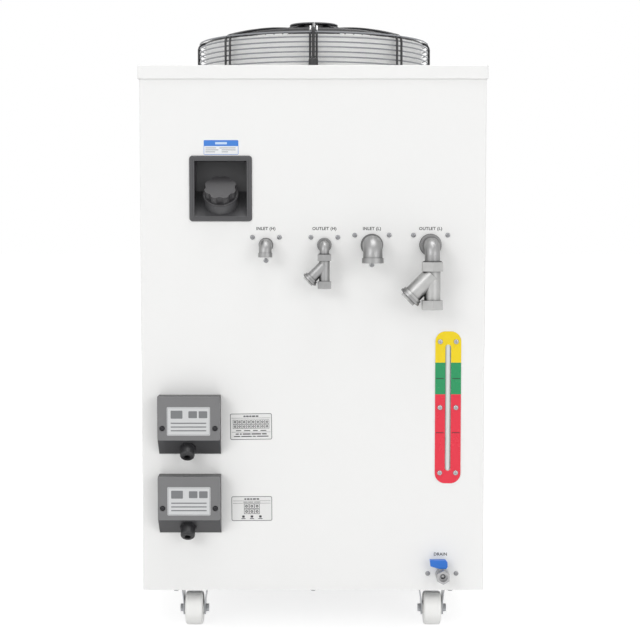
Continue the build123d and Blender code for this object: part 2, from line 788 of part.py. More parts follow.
sight_length = gauge_slot_height + sight_extra
sight_y = panel_y + sight_radius
stub_drop = 8.0
tank_right = tank_x + tank_width / 2
with BuildPart() as sight_tube:
    with BuildSketch(Plane(origin=(gauge_x, sight_y, gauge_slot_centre - sight_length / 2))):
        Circle(sight_radius)
    extrude(amount=sight_length)
    for s in (-1, 1):
        stub_z = gauge_slot_centre + s * (sight_length / 2 - stub_drop)
        with BuildSketch(Plane(origin=(gauge_x, sight_y, stub_z), x_dir=(1, 0, 0), z_dir=(0, 1, 0))):
            Circle(sight_bore)
        extrude(amount=tank_from_panel + tank_corner)
        stub_y = panel_y + tank_from_panel + tank_corner + sight_bore
        with BuildSketch(Plane(origin=(tank_right, stub_y, stub_z), x_dir=(0, 1, 0), z_dir=(1, 0, 0))):
            Circle(sight_bore)
        extrude(amount=gauge_x - tank_right + sight_bore)
    with BuildSketch(Plane(origin=(gauge_x, sight_y, gauge_slot_centre - sight_length / 2 + 2.0))):
        Circle(sight_bore - 1.0)
    extrude(amount=sight_length - 4.0, mode=Mode.SUBTRACT)
sight_tube.part.label = "sight_tube"
export_step(sight_tube.part, "parts/sight_tube.step")

# Port flanges behind the panel: each carries a threaded tube out to its elbow

with BuildPart() as port_flanges:
    for x, size in port_places:
        with BuildSketch(on_panel(x, port_height, -sheet)):
            Circle(size["screw_circle"] + flange_rim)
            with PolarLocations(size["screw_circle"], 3, start_angle=port_screw_angles[0]):
                Circle(screw_shank + screw_clearance, mode=Mode.SUBTRACT)
        extrude(amount=-flange_thick)
        with BuildSketch(on_panel(x, port_height, size["band_length"])):
            Circle(size["thread"] - fit)
        extrude(amount=-size["band_length"] - tail_length)
        with BuildSketch(on_panel(x, port_height, size["band_length"])):
            Circle(size["bore"])
        extrude(amount=-size["band_length"] - tail_length, mode=Mode.SUBTRACT)
port_flanges.part.label = "port_flanges"
export_step(port_flanges.part, "parts/port_flanges.step")


def swept_elbow(x, size, body, bend, drop):
    """The bent limb of an elbow, from the panel's face out, then down."""
    with BuildPart() as limb:
        with BuildLine(out_and_up(x, port_height)) as path:
            FilletPolyline((0, 0), (size["reach"], 0), (size["reach"], -drop), radius=bend)
        with BuildSketch(Plane(origin=path.line @ 0, z_dir=path.line % 0)):
            Circle(body)
        sweep(path=path.line)
    return limb.part


def swept_bore(x, size, bend, drop):
    """The waterway of an elbow, along the same path as its limb."""
    with BuildPart() as way:
        with BuildLine(out_and_up(x, port_height)) as path:
            FilletPolyline((0, 0), (size["reach"], 0), (size["reach"], -drop), radius=bend)
        with BuildSketch(Plane(origin=path.line @ 0, z_dir=path.line % 0)):
            Circle(min(size["bore"], size["street_body"] - 2.0))
        sweep(path=path.line)
    return way.part


# Inlet elbows: cast, with a thickened band round each threaded end

for x, size, name in ((inlet_h_x, fitting_h, "inlet_h_elbow"), (inlet_l_x, fitting_l, "inlet_l_elbow")):
    foot = port_height - size["elbow_drop"]
    with BuildPart() as inlet_elbow:
        add(swept_elbow(x, size, size["body"], size["bend"], size["elbow_drop"]))
        with BuildSketch(on_panel(x, port_height)):
            Circle(size["band"])
        extrude(amount=size["band_length"])
        with BuildSketch(Plane(origin=(x, panel_y - size["reach"], foot))):
            Circle(size["band"])
        extrude(amount=size["band_length"])
        add(swept_bore(x, size, size["bend"], size["elbow_drop"]), mode=Mode.SUBTRACT)
        with BuildSketch(on_panel(x, port_height)):
            Circle(size["thread"])
        extrude(amount=size["band_length"] + gap, mode=Mode.SUBTRACT)
        with BuildSketch(Plane(origin=(x, panel_y - size["reach"], foot))):
            Circle(size["thread"])
        extrude(amount=size["band_length"] + 1.0, mode=Mode.SUBTRACT)
    inlet_elbow.part.label = name
    export_step(inlet_elbow.part, f"parts/{name}.step")

# Outlet street elbows: a band at the panel and a male thread into the strainer below

for x, size, strainer, name in (
    (outlet_h_x, fitting_h, strainer_h, "outlet_h_elbow"),
    (outlet_l_x, fitting_l, strainer_l, "outlet_l_elbow"),
):
    thread_foot = port_height - size["street_drop"] - strainer["socket"] + gap
    with BuildPart() as outlet_elbow:
        drop = port_height - thread_foot
        add(swept_elbow(x, size, size["street_body"], size["street_bend"], drop))
        with BuildSketch(on_panel(x, port_height)):
            Circle(size["band"])
        extrude(amount=size["band_length"] + 1.5)
        with BuildSketch(Plane(origin=(x, panel_y - size["reach"], thread_foot))):
            Circle(size["thread"] - fit)
        extrude(amount=strainer["socket"] + 1.5)
        add(swept_bore(x, size, size["street_bend"], drop), mode=Mode.SUBTRACT)
        with BuildSketch(on_panel(x, port_height)):
            Circle(size["thread"])
        extrude(amount=size["band_length"] + gap, mode=Mode.SUBTRACT)
    outlet_elbow.part.label = name
    export_step(outlet_elbow.part, f"parts/{name}.step")

# Y-strainers: a hexagon at each end of the run and a branch slanting down from it

strainers = (
    (outlet_h_x, fitting_h, strainer_h, "strainer_h_body"),
    (outlet_l_x, fitting_l, strainer_l, "strainer_l_body"),
)
branch_turn = radians(45)
branch_axis = (-sin(branch_turn), 0, -cos(branch_turn))


def along_branch(x, size, strainer, distance):
    """A plane square to a strainer's branch, a distance down its axis from the run."""
    start = (x, panel_y - size["reach"], port_height - size["street_drop"] - strainer["branch_drop"])
    point = tuple(p + distance * d for p, d in zip(start, branch_axis))
    return Plane(origin=point, x_dir=(0, -1, 0), z_dir=branch_axis)


for x, size, strainer, name in strainers:
    run_top = port_height - size["street_drop"]
    run_foot = run_top - strainer["length"]
    run_y = panel_y - size["reach"]
    rim_start = strainer["branch_length"] - strainer["plug_head"] - strainer["collar_length"]
    with BuildPart() as strainer_body:
        with BuildSketch(Plane(origin=(x, run_y, run_foot))):
            Circle(strainer["run"])
        extrude(amount=strainer["length"])
        for hex_foot, hex_length in (
            (run_foot, strainer["foot_hex"]), (run_top - strainer["top_hex"], strainer["top_hex"]),
        ):
            with BuildSketch(Plane(origin=(x, run_y, hex_foot))):
                RegularPolygon(strainer["hex"] / 2, 6, major_radius=False, rotation=30)
            extrude(amount=hex_length)
        with BuildSketch(along_branch(x, size, strainer, 0)):
            Circle(strainer["branch"])
        extrude(amount=rim_start)
        with BuildSketch(along_branch(x, size, strainer, rim_start)):
            Circle(strainer["collar"])
        extrude(amount=strainer["collar_length"])
        with BuildSketch(Plane(origin=(x, run_y, run_foot))):
            Circle(strainer["run"] - 3.0)
        extrude(amount=strainer["length"], mode=Mode.SUBTRACT)
        with BuildSketch(along_branch(x, size, strainer, 0)):
            Circle(strainer["branch_bore"])
        extrude(amount=rim_start + strainer["collar_length"], mode=Mode.SUBTRACT)
        for socket_foot in (run_foot, run_top - strainer["socket"]):
            with BuildSketch(Plane(origin=(x, run_y, socket_foot))):
                Circle(size["thread"])
            extrude(amount=strainer["socket"], mode=Mode.SUBTRACT)
    strainer_body.part.label = name
    export_step(strainer_body.part, f"parts/{name}.step")

plug_shank = 8.0
with BuildPart() as strainer_plugs:
    for x, size, strainer, name in strainers:
        seat = strainer["branch_length"] - strainer["plug_head"]
        with BuildSketch(along_branch(x, size, strainer, seat)):
            RegularPolygon(strainer["plug_hex"] / 2, 6, major_radius=False)
        extrude(amount=strainer["plug_head"])
        with BuildSketch(along_branch(x, size, strainer, seat)):
            Circle(strainer["branch_bore"] - fit)
        extrude(amount=-plug_shank)
strainer_plugs.part.label = "strainer_plugs"
export_step(strainer_plugs.part, "parts/strainer_plugs.step")

with BuildPart() as strainer_screens:
    for x, size, strainer, name in strainers:
        seat = strainer["branch_length"] - strainer["plug_head"] - plug_shank
        with BuildSketch(along_branch(x, size, strainer, strainer["run"])):
            Circle(strainer["screen"])
            Circle(strainer["screen"] - screen_wall, mode=Mode.SUBTRACT)
        extrude(amount=seat - strainer["run"])
strainer_screens.part.label = "strainer_screens"
export_step(strainer_screens.part, "parts/strainer_screens.step")


# Screws: a domed head on a short shank, one solid each


def screw_at(place, seat):
    """One pan-head screw on a plane, its head seated a height above that plane."""
    with BuildPart() as screw:
        with BuildSketch(place.offset(seat)):
            Circle(screw_head)
        extrude(amount=screw_dome / 2)
        with BuildSketch(place.offset(seat + screw_dome / 2)):
            Circle(screw_head)
        extrude(amount=screw_dome / 2, taper=45)
        with BuildSketch(place.offset(seat)):
            Circle(screw_shank)
        extrude(amount=-screw_length)
    return screw.part


with BuildPart() as panel_screws:
    for x, z in port_screw_places() + drain_screw_places:
        add(screw_at(on_panel(x, z), 0))
    for x, z in gauge_screw_places():
        add(screw_at(on_panel(x, z), gauge_thick))
panel_screws.part.label = "panel_screws"
export_step(panel_screws.part, "parts/panel_screws.step")

with BuildPart() as guard_screws:
    for angle in foot_angles:
        turn = radians(angle)
        foot_point = (guard_foot_radius * cos(turn), cabinet_y + guard_foot_radius * sin(turn), cap_top)
        add(screw_at(Plane(origin=foot_point), sheet + arm_wire))
guard_screws.part.label = "guard_screws"
export_step(guard_screws.part, "parts/guard_screws.step")

# Terminal boxes: an open moulded box with a slanted foot for the gland, and a flat lid

slant = radians(45)
with BuildPart() as terminal_boxes:
    for foot in box_feet:
        top = foot + box_height
        with BuildSketch(out_and_up(box_x)):
            with BuildLine():
                Polyline(
                    (0, foot), (box_depth - box_slant, foot), (box_depth, foot + box_slant),
                    (box_depth, top), (0, top), (0, foot),
                )
            make_face()
        extrude(amount=box_width / 2, both=True)
        with BuildSketch(out_and_up(box_x)):
            inside_foot = foot + box_wall / cos(slant) - (box_depth - box_slant)
            with BuildLine():
                Polyline(
                    (box_wall, inside_foot + box_wall), (box_depth, inside_foot + box_depth),
                    (box_depth, top - box_wall), (box_wall, top - box_wall),
                    (box_wall, inside_foot + box_wall),
                )
            make_face()
        extrude(amount=box_width / 2 - box_wall, both=True, mode=Mode.SUBTRACT)
        gland_point = (gland_x, panel_y - box_depth + box_slant / 2, foot + box_slant / 2)
        gland_place = Plane(origin=gland_point, x_dir=(1, 0, 0), z_dir=(0, -sin(slant), -cos(slant)))
        with BuildSketch(gland_place):
            Circle(gland_thread)
        extrude(amount=-2 * box_wall, mode=Mode.SUBTRACT)
        boss_depth = box_depth - box_wall
        for s in (-1, 1):
            with BuildSketch(on_panel(box_x + s * lid_screw_offset, top - lid_screw_drop, box_wall)):
                Rectangle(2 * screw_head, 2 * screw_head)
            extrude(amount=boss_depth)
        for row in range(terminal_rows):
            row_x = box_x + (row - (terminal_rows - 1) / 2) * 12.0
            with BuildSketch(on_panel(row_x, top - lid_screw_drop + 22.0, box_wall)):
                Rectangle(10.0, 24.0)
            extrude(amount=14.0)
terminal_boxes.part.label = "terminal_boxes"
export_step(terminal_boxes.part, "parts/terminal_boxes.step")

lid_height = box_height - box_slant
with BuildPart() as box_lids:
    for foot in box_feet:
        lid_middle = foot + box_slant + lid_height / 2
        with BuildSketch(on_panel(box_x, lid_middle, box_depth)):
            RectangleRounded(box_width, lid_height, lid_corner)
        extrude(amount=lid_thick)
        screw_z = foot + box_height - lid_screw_drop
        with BuildSketch(on_panel(box_x, screw_z, box_depth + lid_thick)):
            with Locations((-lid_screw_offset, 0), (lid_screw_offset, 0)):
                Circle(lid_screw_sink)
        extrude(amount=-screw_dome - gap, mode=Mode.SUBTRACT)
box_lids.part.label = "box_lids"
export_step(box_lids.part, "parts/box_lids.step")

# Cable glands: a hexagon on the wall and a domed clamp nut with the cable bore


def domed_gland(place, hexagon, base, radius, length, dome):
    """A cable gland on a plane: its hexagon, if it has one, and its domed clamp nut."""
    with BuildPart() as gland:
        with BuildSketch(place.offset(base)):
            Circle(radius)
        extrude(amount=length - base)
        far_end = place.origin + place.z_dir * length
        fillet(gland.edges().filter_by(GeomType.CIRCLE).sort_by_distance(far_end)[0], dome)
        if base > 0:
            with BuildSketch(place):
                RegularPolygon(hexagon / 2, 6, major_radius=False)
            extrude(amount=base)
    return gland.part


with BuildPart() as cable_glands:
    for foot in box_feet:
        gland_point = (gland_x, panel_y - box_depth + box_slant / 2, foot + box_slant / 2)
        gland_place = Plane(origin=gland_point, x_dir=(1, 0, 0), z_dir=(0, -sin(slant), -cos(slant)))
        add(domed_gland(gland_place, gland_hex, gland_base, gland_radius - 0.5, gland_length, 5.0))
        with BuildSketch(gland_place):
            Circle(gland_thread - fit)
        extrude(amount=-3 * box_wall)
        with BuildSketch(gland_place.offset(gland_length)):
            Circle(gland_bore)
        extrude(amount=-gland_length - 3 * box_wall, mode=Mode.SUBTRACT)
    fan_gland_place = Plane(origin=(0, fan_gland_y, cap_top))
    add(domed_gland(fan_gland_place, 0, 0, fan_gland_radius, fan_gland_height, fan_gland_radius / 2))
    with BuildSketch(fan_gland_place):
        Circle(fan_gland_radius / 2)
    extrude(amount=-3 * sheet)
cable_glands.part.label = "cable_glands"
export_step(cable_glands.part, "parts/cable_glands.step")

# Drain valve: a small ball valve, its ball and stem, and a moulded lever

drain_valve_y = panel_y - drain_stem_reach
stem_foot = drain_height + drain_ball_radius - 1.0
with BuildPart() as drain_body:
    with BuildSketch(on_panel(drain_x, drain_height, -drain_tail)):
        Circle(drain_neck)
    extrude(amount=drain_reach + drain_tail)
    with BuildSketch(on_panel(drain_x, drain_height, drain_stem_reach - drain_body_radius)):
        Circle(drain_body_radius)
    extrude(amount=2 * drain_body_radius - 3.0)
    with BuildSketch(on_panel(drain_x, drain_height, drain_reach - drain_hex_length)):
        RegularPolygon(drain_hex / 2, 6, major_radius=False, rotation=drain_hex_turn)
    extrude(amount=drain_hex_length)
    with BuildSketch(Plane(origin=(drain_x, drain_valve_y, drain_height))):
        Circle(stem_boss)
    extrude(amount=lever_foot - drain_height - gap)
    with BuildSketch(on_panel(drain_x, drain_height, drain_reach)):
        Circle(drain_bore)
    extrude(amount=-drain_reach - drain_tail, mode=Mode.SUBTRACT)
    with BuildSketch(on_panel(drain_x, drain_height, drain_reach)):
        Circle(drain_socket)
    extrude(amount=-drain_socket_depth, mode=Mode.SUBTRACT)
    with BuildSketch(Plane(origin=(drain_x, drain_valve_y, drain_height))):
        Circle(stem_radius + fit)
    extrude(amount=lever_foot - drain_height, mode=Mode.SUBTRACT)
    with BuildSketch(on_panel(drain_x, drain_height, -sheet)):
        SlotOverall(2 * (drain_screw_offset + flange_rim), 2 * (drain_neck + 4.0))
        Circle(drain_bore, mode=Mode.SUBTRACT)
        with Locations((-drain_screw_offset, 0), (drain_screw_offset, 0)):
            Circle(screw_shank + screw_clearance, mode=Mode.SUBTRACT)
    extrude(amount=-flange_thick)
    with Locations((drain_x, drain_valve_y, drain_height)):
        Sphere(drain_ball_radius + fit, mode=Mode.SUBTRACT)
drain_body.part.label = "drain_body"
export_step(drain_body.part, "parts/drain_body.step")

with BuildPart() as drain_ball:
    with Locations((drain_x, drain_valve_y, drain_height)):
        Sphere(drain_ball_radius)
    with BuildSketch(Plane(origin=(drain_x, drain_valve_y, drain_height), x_dir=(0, 1, 0), z_dir=(1, 0, 0))):
        Circle(drain_bore)
    extrude(amount=drain_ball_radius, both=True, mode=Mode.SUBTRACT)
    with BuildSketch(Plane(origin=(drain_x, drain_valve_y, stem_foot))):
        Circle(stem_radius)
    extrude(amount=lever_top - 3.0 - stem_foot)
drain_ball.part.label = "drain_ball"
export_step(drain_ball.part, "parts/drain_ball.step")

with BuildPart() as drain_lever:
    with BuildSketch(Plane(origin=(0, drain_valve_y, 0), x_dir=(1, 0, 0), z_dir=(0, -1, 0))):
        with BuildLine():
            Polyline(
                (lever_left, lever_top), (lever_left + 1.5, lever_top - 12.0), (drain_x - 6.0, lever_foot),
                (lever_right - 2.5, lever_foot), (lever_right, lever_foot + 4.0),
                (lever_right, lever_top - 5.0), (lever_right - 4.0, lever_top), (lever_left, lever_top),
            )
        make_face()
    extrude(amount=lever_thick / 2, both=True)
    chamfer(drain_lever.edges().filter_by(Axis.Y, reverse=True), 1.0)
    with BuildSketch(Plane(origin=(drain_x, drain_valve_y, lever_foot))):
        Circle(stem_radius)
    extrude(amount=lever_top - 3.0 - lever_foot, mode=Mode.SUBTRACT)
drain_lever.part.label = "drain_lever"
export_step(drain_lever.part, "parts/drain_lever.step")

# Casters: a plate with its race and kingpin, a pressed fork with its axle, and a wheel

caster_places = []
for end, end_name in ((-1, "front"), (1, "rear")):
    for side, side_name in ((-1, "left"), (1, "right")):
        swivel_y = cabinet_y + end * (body_depth / 2 - caster_inset)
        caster_places.append((side * caster_x, swivel_y, f"{end_name}_{side_name}"))

plate_under = deck_height - caster_plate_thick
race_foot = plate_under - race_height
crown_top = race_foot - gap
crown_foot = crown_top - fork_sheet
pin_foot = crown_foot - gap - kingpin_nut_length
with BuildPart() as caster_plates:
    for x, y, name in caster_places:
        with BuildSketch(Plane(origin=(x, y, plate_under))):
            RectangleRounded(caster_plate_x, caster_plate_y, 6.0)
        extrude(amount=caster_plate_thick)
        with BuildSketch(Plane(origin=(x, y, plate_under))):
            Circle(race_radius)
        extrude(amount=-race_height, taper=15)
        with BuildSketch(Plane(origin=(x, y, plate_under))):
            Circle(kingpin_radius)
        extrude(amount=pin_foot - plate_under)
        with BuildSketch(Plane(origin=(x, y, pin_foot))):
            RegularPolygon(kingpin_nut / 2, 6, major_radius=False)
        extrude(amount=kingpin_nut_length)
caster_plates.part.label = "caster_plates"
export_step(caster_plates.part, "parts/caster_plates.step")

for x, y, name in caster_places:
    axle = (x, y - caster_trail, wheel_radius)
    with BuildPart() as fork:
        with BuildSketch(Plane(origin=(x, y, 0), x_dir=(1, 0, 0), z_dir=(0, -1, 0))):
            leg_foot = wheel_radius - fork_round
            top_half, foot_half = fork_top_width / 2, fork_foot_width / 2
            with BuildLine():
                Polyline(
                    (-top_half + 6.0, crown_top), (top_half - 6.0, crown_top), (top_half, crown_top - 6.0),
                    (foot_half, wheel_radius + fork_round), (foot_half, leg_foot),
                    (foot_half - fork_sheet, leg_foot), (foot_half - fork_sheet, wheel_radius + fork_round),
                    (top_half - fork_sheet, crown_top - 7.5), (top_half - 7.5, crown_foot),
                    (-top_half + 7.5, crown_foot), (-top_half + fork_sheet, crown_top - 7.5),
                    (-foot_half + fork_sheet, wheel_radius + fork_round), (-foot_half + fork_sheet, leg_foot),
                    (-foot_half, leg_foot), (-foot_half, wheel_radius + fork_round),
                    (-top_half, crown_top - 6.0), (-top_half + 6.0, crown_top),
                )
            make_face()
        extrude(amount=fork_crown_radius + caster_trail + fork_round, both=True)
        with BuildSketch(Plane(origin=(x, y, 0), x_dir=(0, 1, 0), z_dir=(1, 0, 0))):
            with BuildLine():
                Polyline(
                    (-fork_crown_radius, crown_top), (fork_crown_radius, crown_top),
                    (fork_crown_radius, crown_top - 9.0), (-caster_trail + fork_round, wheel_radius + 2.0),
                    (-caster_trail + fork_round * cos(pi / 4), wheel_radius - fork_round * sin(pi / 4)),
                    (-caster_trail, wheel_radius - fork_round),
                    (-caster_trail - fork_round * cos(pi / 4), wheel_radius - fork_round * sin(pi / 4)),
                    (-caster_trail - fork_round, wheel_radius), (-fork_crown_radius, crown_top - 9.0),
                    (-fork_crown_radius, crown_top),
                )
            make_face()
        extrude(amount=fork_top_width, both=True, mode=Mode.INTERSECT)
        with BuildSketch(Plane(origin=(x, y, crown_foot))):
            Circle(kingpin_radius + fit)
        extrude(amount=fork_sheet, mode=Mode.SUBTRACT)
        with BuildSketch(Plane(origin=axle, x_dir=(0, 1, 0), z_dir=(1, 0, 0))):
            Circle(axle_radius)
        extrude(amount=fork_foot_width / 2 + 1.0, both=True)
        for s in (-1, 1):
            head_start = (x + s * fork_foot_width / 2, y - caster_trail, wheel_radius)
            with BuildSketch(Plane(origin=head_start, x_dir=(0, 1, 0), z_dir=(s, 0, 0))):
                RegularPolygon(axle_head / 2, 6, major_radius=False)
            extrude(amount=axle_head_length)
    fork.part.label = f"fork_{name}"
    export_step(fork.part, f"parts/fork_{name}.step")

    with BuildPart() as wheel:
        with BuildSketch(Plane(origin=axle, x_dir=(0, 1, 0), z_dir=(1, 0, 0)).offset(-wheel_width / 2)):
            Circle(wheel_radius)
        extrude(amount=wheel_width)
        tread_rims = wheel.edges().filter_by(GeomType.CIRCLE)
        fillet(tread_rims, wheel_shoulder)
        with BuildSketch(Plane(origin=axle, x_dir=(0, 1, 0), z_dir=(1, 0, 0))):
            Circle(hub_radius)
        extrude(amount=hub_width / 2, both=True)
        with BuildSketch(Plane(origin=axle, x_dir=(0, 1, 0), z_dir=(1, 0, 0))):
            Circle(axle_radius + fit)
        extrude(amount=hub_width / 2, both=True, mode=Mode.SUBTRACT)
    wheel.part.label = f"wheel_{name}"
    export_step(wheel.part, f"parts/wheel_{name}.step")

# Controller: a moulded module with a sunk display and three sprung buttons

button_z = controller_foot + controller_height * 0.28
button_xs = [-controller_width / 4 + (n - 1) * button_pitch for n in range(len(button_names))]
with BuildPart() as controller:
    with BuildSketch(on_rear(0, controller_middle)):
        RectangleRounded(controller_width, controller_height, 8.0)
    extrude(amount=controller_proud)
    chamfer(controller.faces().sort_by(Axis.Y)[-1].edges(), 1.5)
    with BuildSketch(on_rear(0, controller_middle)):
        Rectangle(controller_width - 2 * body_cut, controller_height - 2 * body_cut)
    extrude(amount=-controller_depth)
    with BuildSketch(on_rear(0, controller_middle, controller_proud)):
        with Locations((-controller_width / 5, controller_height / 10)):
            RectangleRounded(display_width, display_height, 3.0)
    extrude(amount=-display_sink, mode=Mode.SUBTRACT)
    with BuildSketch(on_rear(0, button_z, controller_proud)):
        with Locations(*[(-x, 0) for x in button_xs]):
            Circle(button_radius + gap)
    extrude(amount=-button_sink, mode=Mode.SUBTRACT)
controller.part.label = "controller"
export_step(controller.part, "parts/controller.step")

for x, name in zip(button_xs, button_names):
    with BuildPart() as button:
        with BuildSketch(on_rear(x, button_z, controller_proud + button_proud)):
            Circle(button_radius)
        extrude(amount=-(button_proud + button_sink - 2.0))
        chamfer(button.faces().sort_by(Axis.Y)[-1].edges(), 0.6)
    button.part.label = name
    export_step(button.part, f"parts/{name}.step")

with BuildPart() as main_switch:
    switch_axis = Axis((switch_x, rear_y, switch_height), (0, 1, 0))
    with BuildSketch(Plane(origin=(switch_x, rear_y, switch_height), x_dir=(1, 0, 0), z_dir=(0, 0, 1))):
        with BuildLine():
            Polyline(
                (0, -switch_tail), (switch_shaft, -switch_tail), (switch_shaft, gap), (switch_skirt, gap),
                (switch_skirt - 1.5, switch_skirt_height), (switch_radius, switch_skirt_height),
                (switch_radius, switch_knob_height), (0, switch_knob_height), (0, -switch_tail),
            )
        make_face()
    revolve(axis=switch_axis)
    with BuildSketch(on_rear(switch_x, switch_height, switch_knob_height)):
        RectangleRounded(switch_grip, 2 * (switch_radius - 2.0), 4.0)
    extrude(amount=switch_reach - switch_knob_height)
    chamfer(main_switch.faces().sort_by(Axis.Y)[-1].edges(), 1.0)
main_switch.part.label = "main_switch"
export_step(main_switch.part, "parts/main_switch.step")

# Inner pieces that the intakes and the fan opening look in on

tank_middle_y = panel_y + tank_from_panel + tank_depth / 2
with BuildPart() as water_tank:
    with BuildSketch(Plane(origin=(tank_x, tank_middle_y, tank_foot))):
        RectangleRounded(tank_width, tank_depth, tank_corner)
    extrude(amount=tank_height)
    with BuildSketch(Plane(origin=(tank_x, tank_middle_y, tank_foot + tank_height))):
        RectangleRounded(tank_width + 16.0, tank_depth + 16.0, tank_corner)
    extrude(amount=3.0)
    for s in (-1, 1):
        with BuildSketch(Plane(origin=(tank_x + s * tank_width / 3, tank_middle_y, deck_height + frame_sheet))):
            Rectangle(frame_leg, tank_depth - 2 * tank_corner)
        extrude(amount=tank_foot - deck_height - frame_sheet)
water_tank.part.label = "water_tank"
export_step(water_tank.part, "parts/water_tank.step")

deck_top = deck_height + frame_sheet
with BuildPart() as compressor:
    shell_y = cabinet_y + compressor_back
    shell_foot = deck_top + compressor_lift
    with BuildSketch(Plane(origin=(compressor_x, shell_y, shell_foot))):
        Circle(compressor_radius)
    extrude(amount=compressor_height)
    fillet(compressor.faces().sort_by(Axis.Z)[-1].edges(), compressor_radius / 2)
    with BuildSketch(Plane(origin=(compressor_x, shell_y, deck_top + compressor_foot))):
        RegularPolygon(compressor_radius + 30.0, 3)
    extrude(amount=compressor_plate)
    with BuildSketch(Plane(origin=(compressor_x, shell_y, deck_top))):
        with PolarLocations(compressor_radius + 10.0, 3):
            Circle(14.0)
    extrude(amount=compressor_foot)
    with BuildSketch(Plane(origin=(compressor_x - compressor_radius - 32.0, shell_y, shell_foot + 40.0))):
        Circle(24.0)
    extrude(amount=compressor_height * 0.6)
    with BuildSketch(Plane(origin=(compressor_x - compressor_radius - 4.0, shell_y, shell_foot + 120.0))):
        Rectangle(30.0, 20.0)
    extrude(amount=12.0)
compressor.part.label = "compressor"
export_step(compressor.part, "parts/compressor.step")

with BuildPart() as pump:
    pump_y = cabinet_y + pump_back
    pump_axis_z = deck_top + pump_radius + 22.0
    pump_place = Plane(origin=(pump_x, pump_y - pump_length / 2, pump_axis_z), x_dir=(1, 0, 0), z_dir=(0, 1, 0))
    with BuildSketch(pump_place):
        Circle(pump_radius)
    extrude(amount=pump_length * 0.3)
    with BuildSketch(pump_place.offset(pump_length * 0.3)):
        Circle(pump_radius * 0.9)
    extrude(amount=pump_length * 0.7)
    with BuildSketch(Plane(origin=(pump_x, pump_y, deck_top))):
        Rectangle(pump_radius * 1.6, pump_length * 0.7)
    extrude(amount=8.0)
    with BuildSketch(Plane(origin=(pump_x, pump_y, deck_top))):
        with Locations((0, -pump_length / 4), (0, pump_length / 4)):
            Rectangle(pump_radius, 14.0)
    extrude(amount=40.0)
    with BuildSketch(Plane(origin=(pump_x, pump_y - pump_length / 2 + 26.0, pump_axis_z))):
        Circle(fitting_l["thread"] + 4.0)
    extrude(amount=pump_radius + 26.0)
pump.part.label = "pump"
export_step(pump.part, "parts/pump.step")

with BuildPart() as plate_exchanger:
    block = Plane(origin=(exchanger_x, cabinet_y + exchanger_back, deck_top))
    with BuildSketch(block):
        RectangleRounded(exchanger_width, exchanger_depth, 12.0)
    extrude(amount=exchanger_height)
    with BuildSketch(Plane(origin=(exchanger_x, cabinet_y + exchanger_back, deck_top), x_dir=(1, 0, 0), z_dir=(0, -1, 0))):
        with Locations(*[(s * exchanger_width / 4, z) for s in (-1, 1) for z in (40.0, exchanger_height - 40.0)]):
            Circle(fitting_h["thread"] + 2.0)
    extrude(amount=exchanger_depth / 2 + 24.0)
plate_exchanger.part.label = "plate_exchanger"
export_step(plate_exchanger.part, "parts/plate_exchanger.step")

fin_pitch = condenser_height / fin_count
condenser_outer = frame_width / 2 - grille_depth - condenser_gap
with BuildPart() as condensers:
    for side in (-1, 1):
        core_x = side * (condenser_outer - condenser_thick / 2)
        with BuildSketch(Plane(origin=(core_x, cabinet_y, condenser_foot))):
            Rectangle(condenser_thick - 2 * fin_rib, condenser_length)
        extrude(amount=condenser_height)
        fin_levels = [condenser_foot + (n + 0.5) * fin_pitch for n in range(fin_count)]
        with BuildSketch(*[Plane(origin=(core_x, cabinet_y, height)) for height in fin_levels]):
            Rectangle(condenser_thick, condenser_length)
        extrude(amount=fin_rib)
        with BuildSketch(Plane(origin=(core_x, cabinet_y, deck_top))):
            with Locations((0, -condenser_length / 2 + 20.0), (0, condenser_length / 2 - 20.0)):
                Rectangle(condenser_thick - 2 * fin_rib, frame_leg)
        extrude(amount=condenser_foot - deck_top)
condensers.part.label = "condensers"
export_step(condensers.part, "parts/condensers.step")

electrics_y = rear_y - sheet - electrics_depth / 2 - controller_depth - 12.0
with BuildPart() as control_box:
    with BuildSketch(Plane(origin=(0, electrics_y, electrics_foot))):
        RectangleRounded(electrics_width, electrics_depth, 4.0)
    extrude(amount=electrics_height)
    bracket_length = rear_y - sheet - electrics_y - electrics_depth / 2
    for s in (-1, 1):
        bracket_y = electrics_y + electrics_depth / 2 + bracket_length / 2
        with BuildSketch(Plane(origin=(s * electrics_width / 2.4, bracket_y, electrics_foot + 20.0))):
            Rectangle(frame_leg, bracket_length)
        extrude(amount=electrics_height - 60.0)
control_box.part.label = "control_box"
export_step(control_box.part, "parts/control_box.step")


# Hoses between the ports, the tank, the pump and the exchanger


def hose(radius, bend, points):
    """A hose of one radius along straight runs joined by arcs."""
    with BuildPart() as tube:
        with BuildLine() as route:
            FilletPolyline(*points, radius=bend)
        with BuildSketch(Plane(origin=route.line @ 0, z_dir=route.line % 0)):
            Circle(radius)
        sweep(path=route.line)
    return tube.part


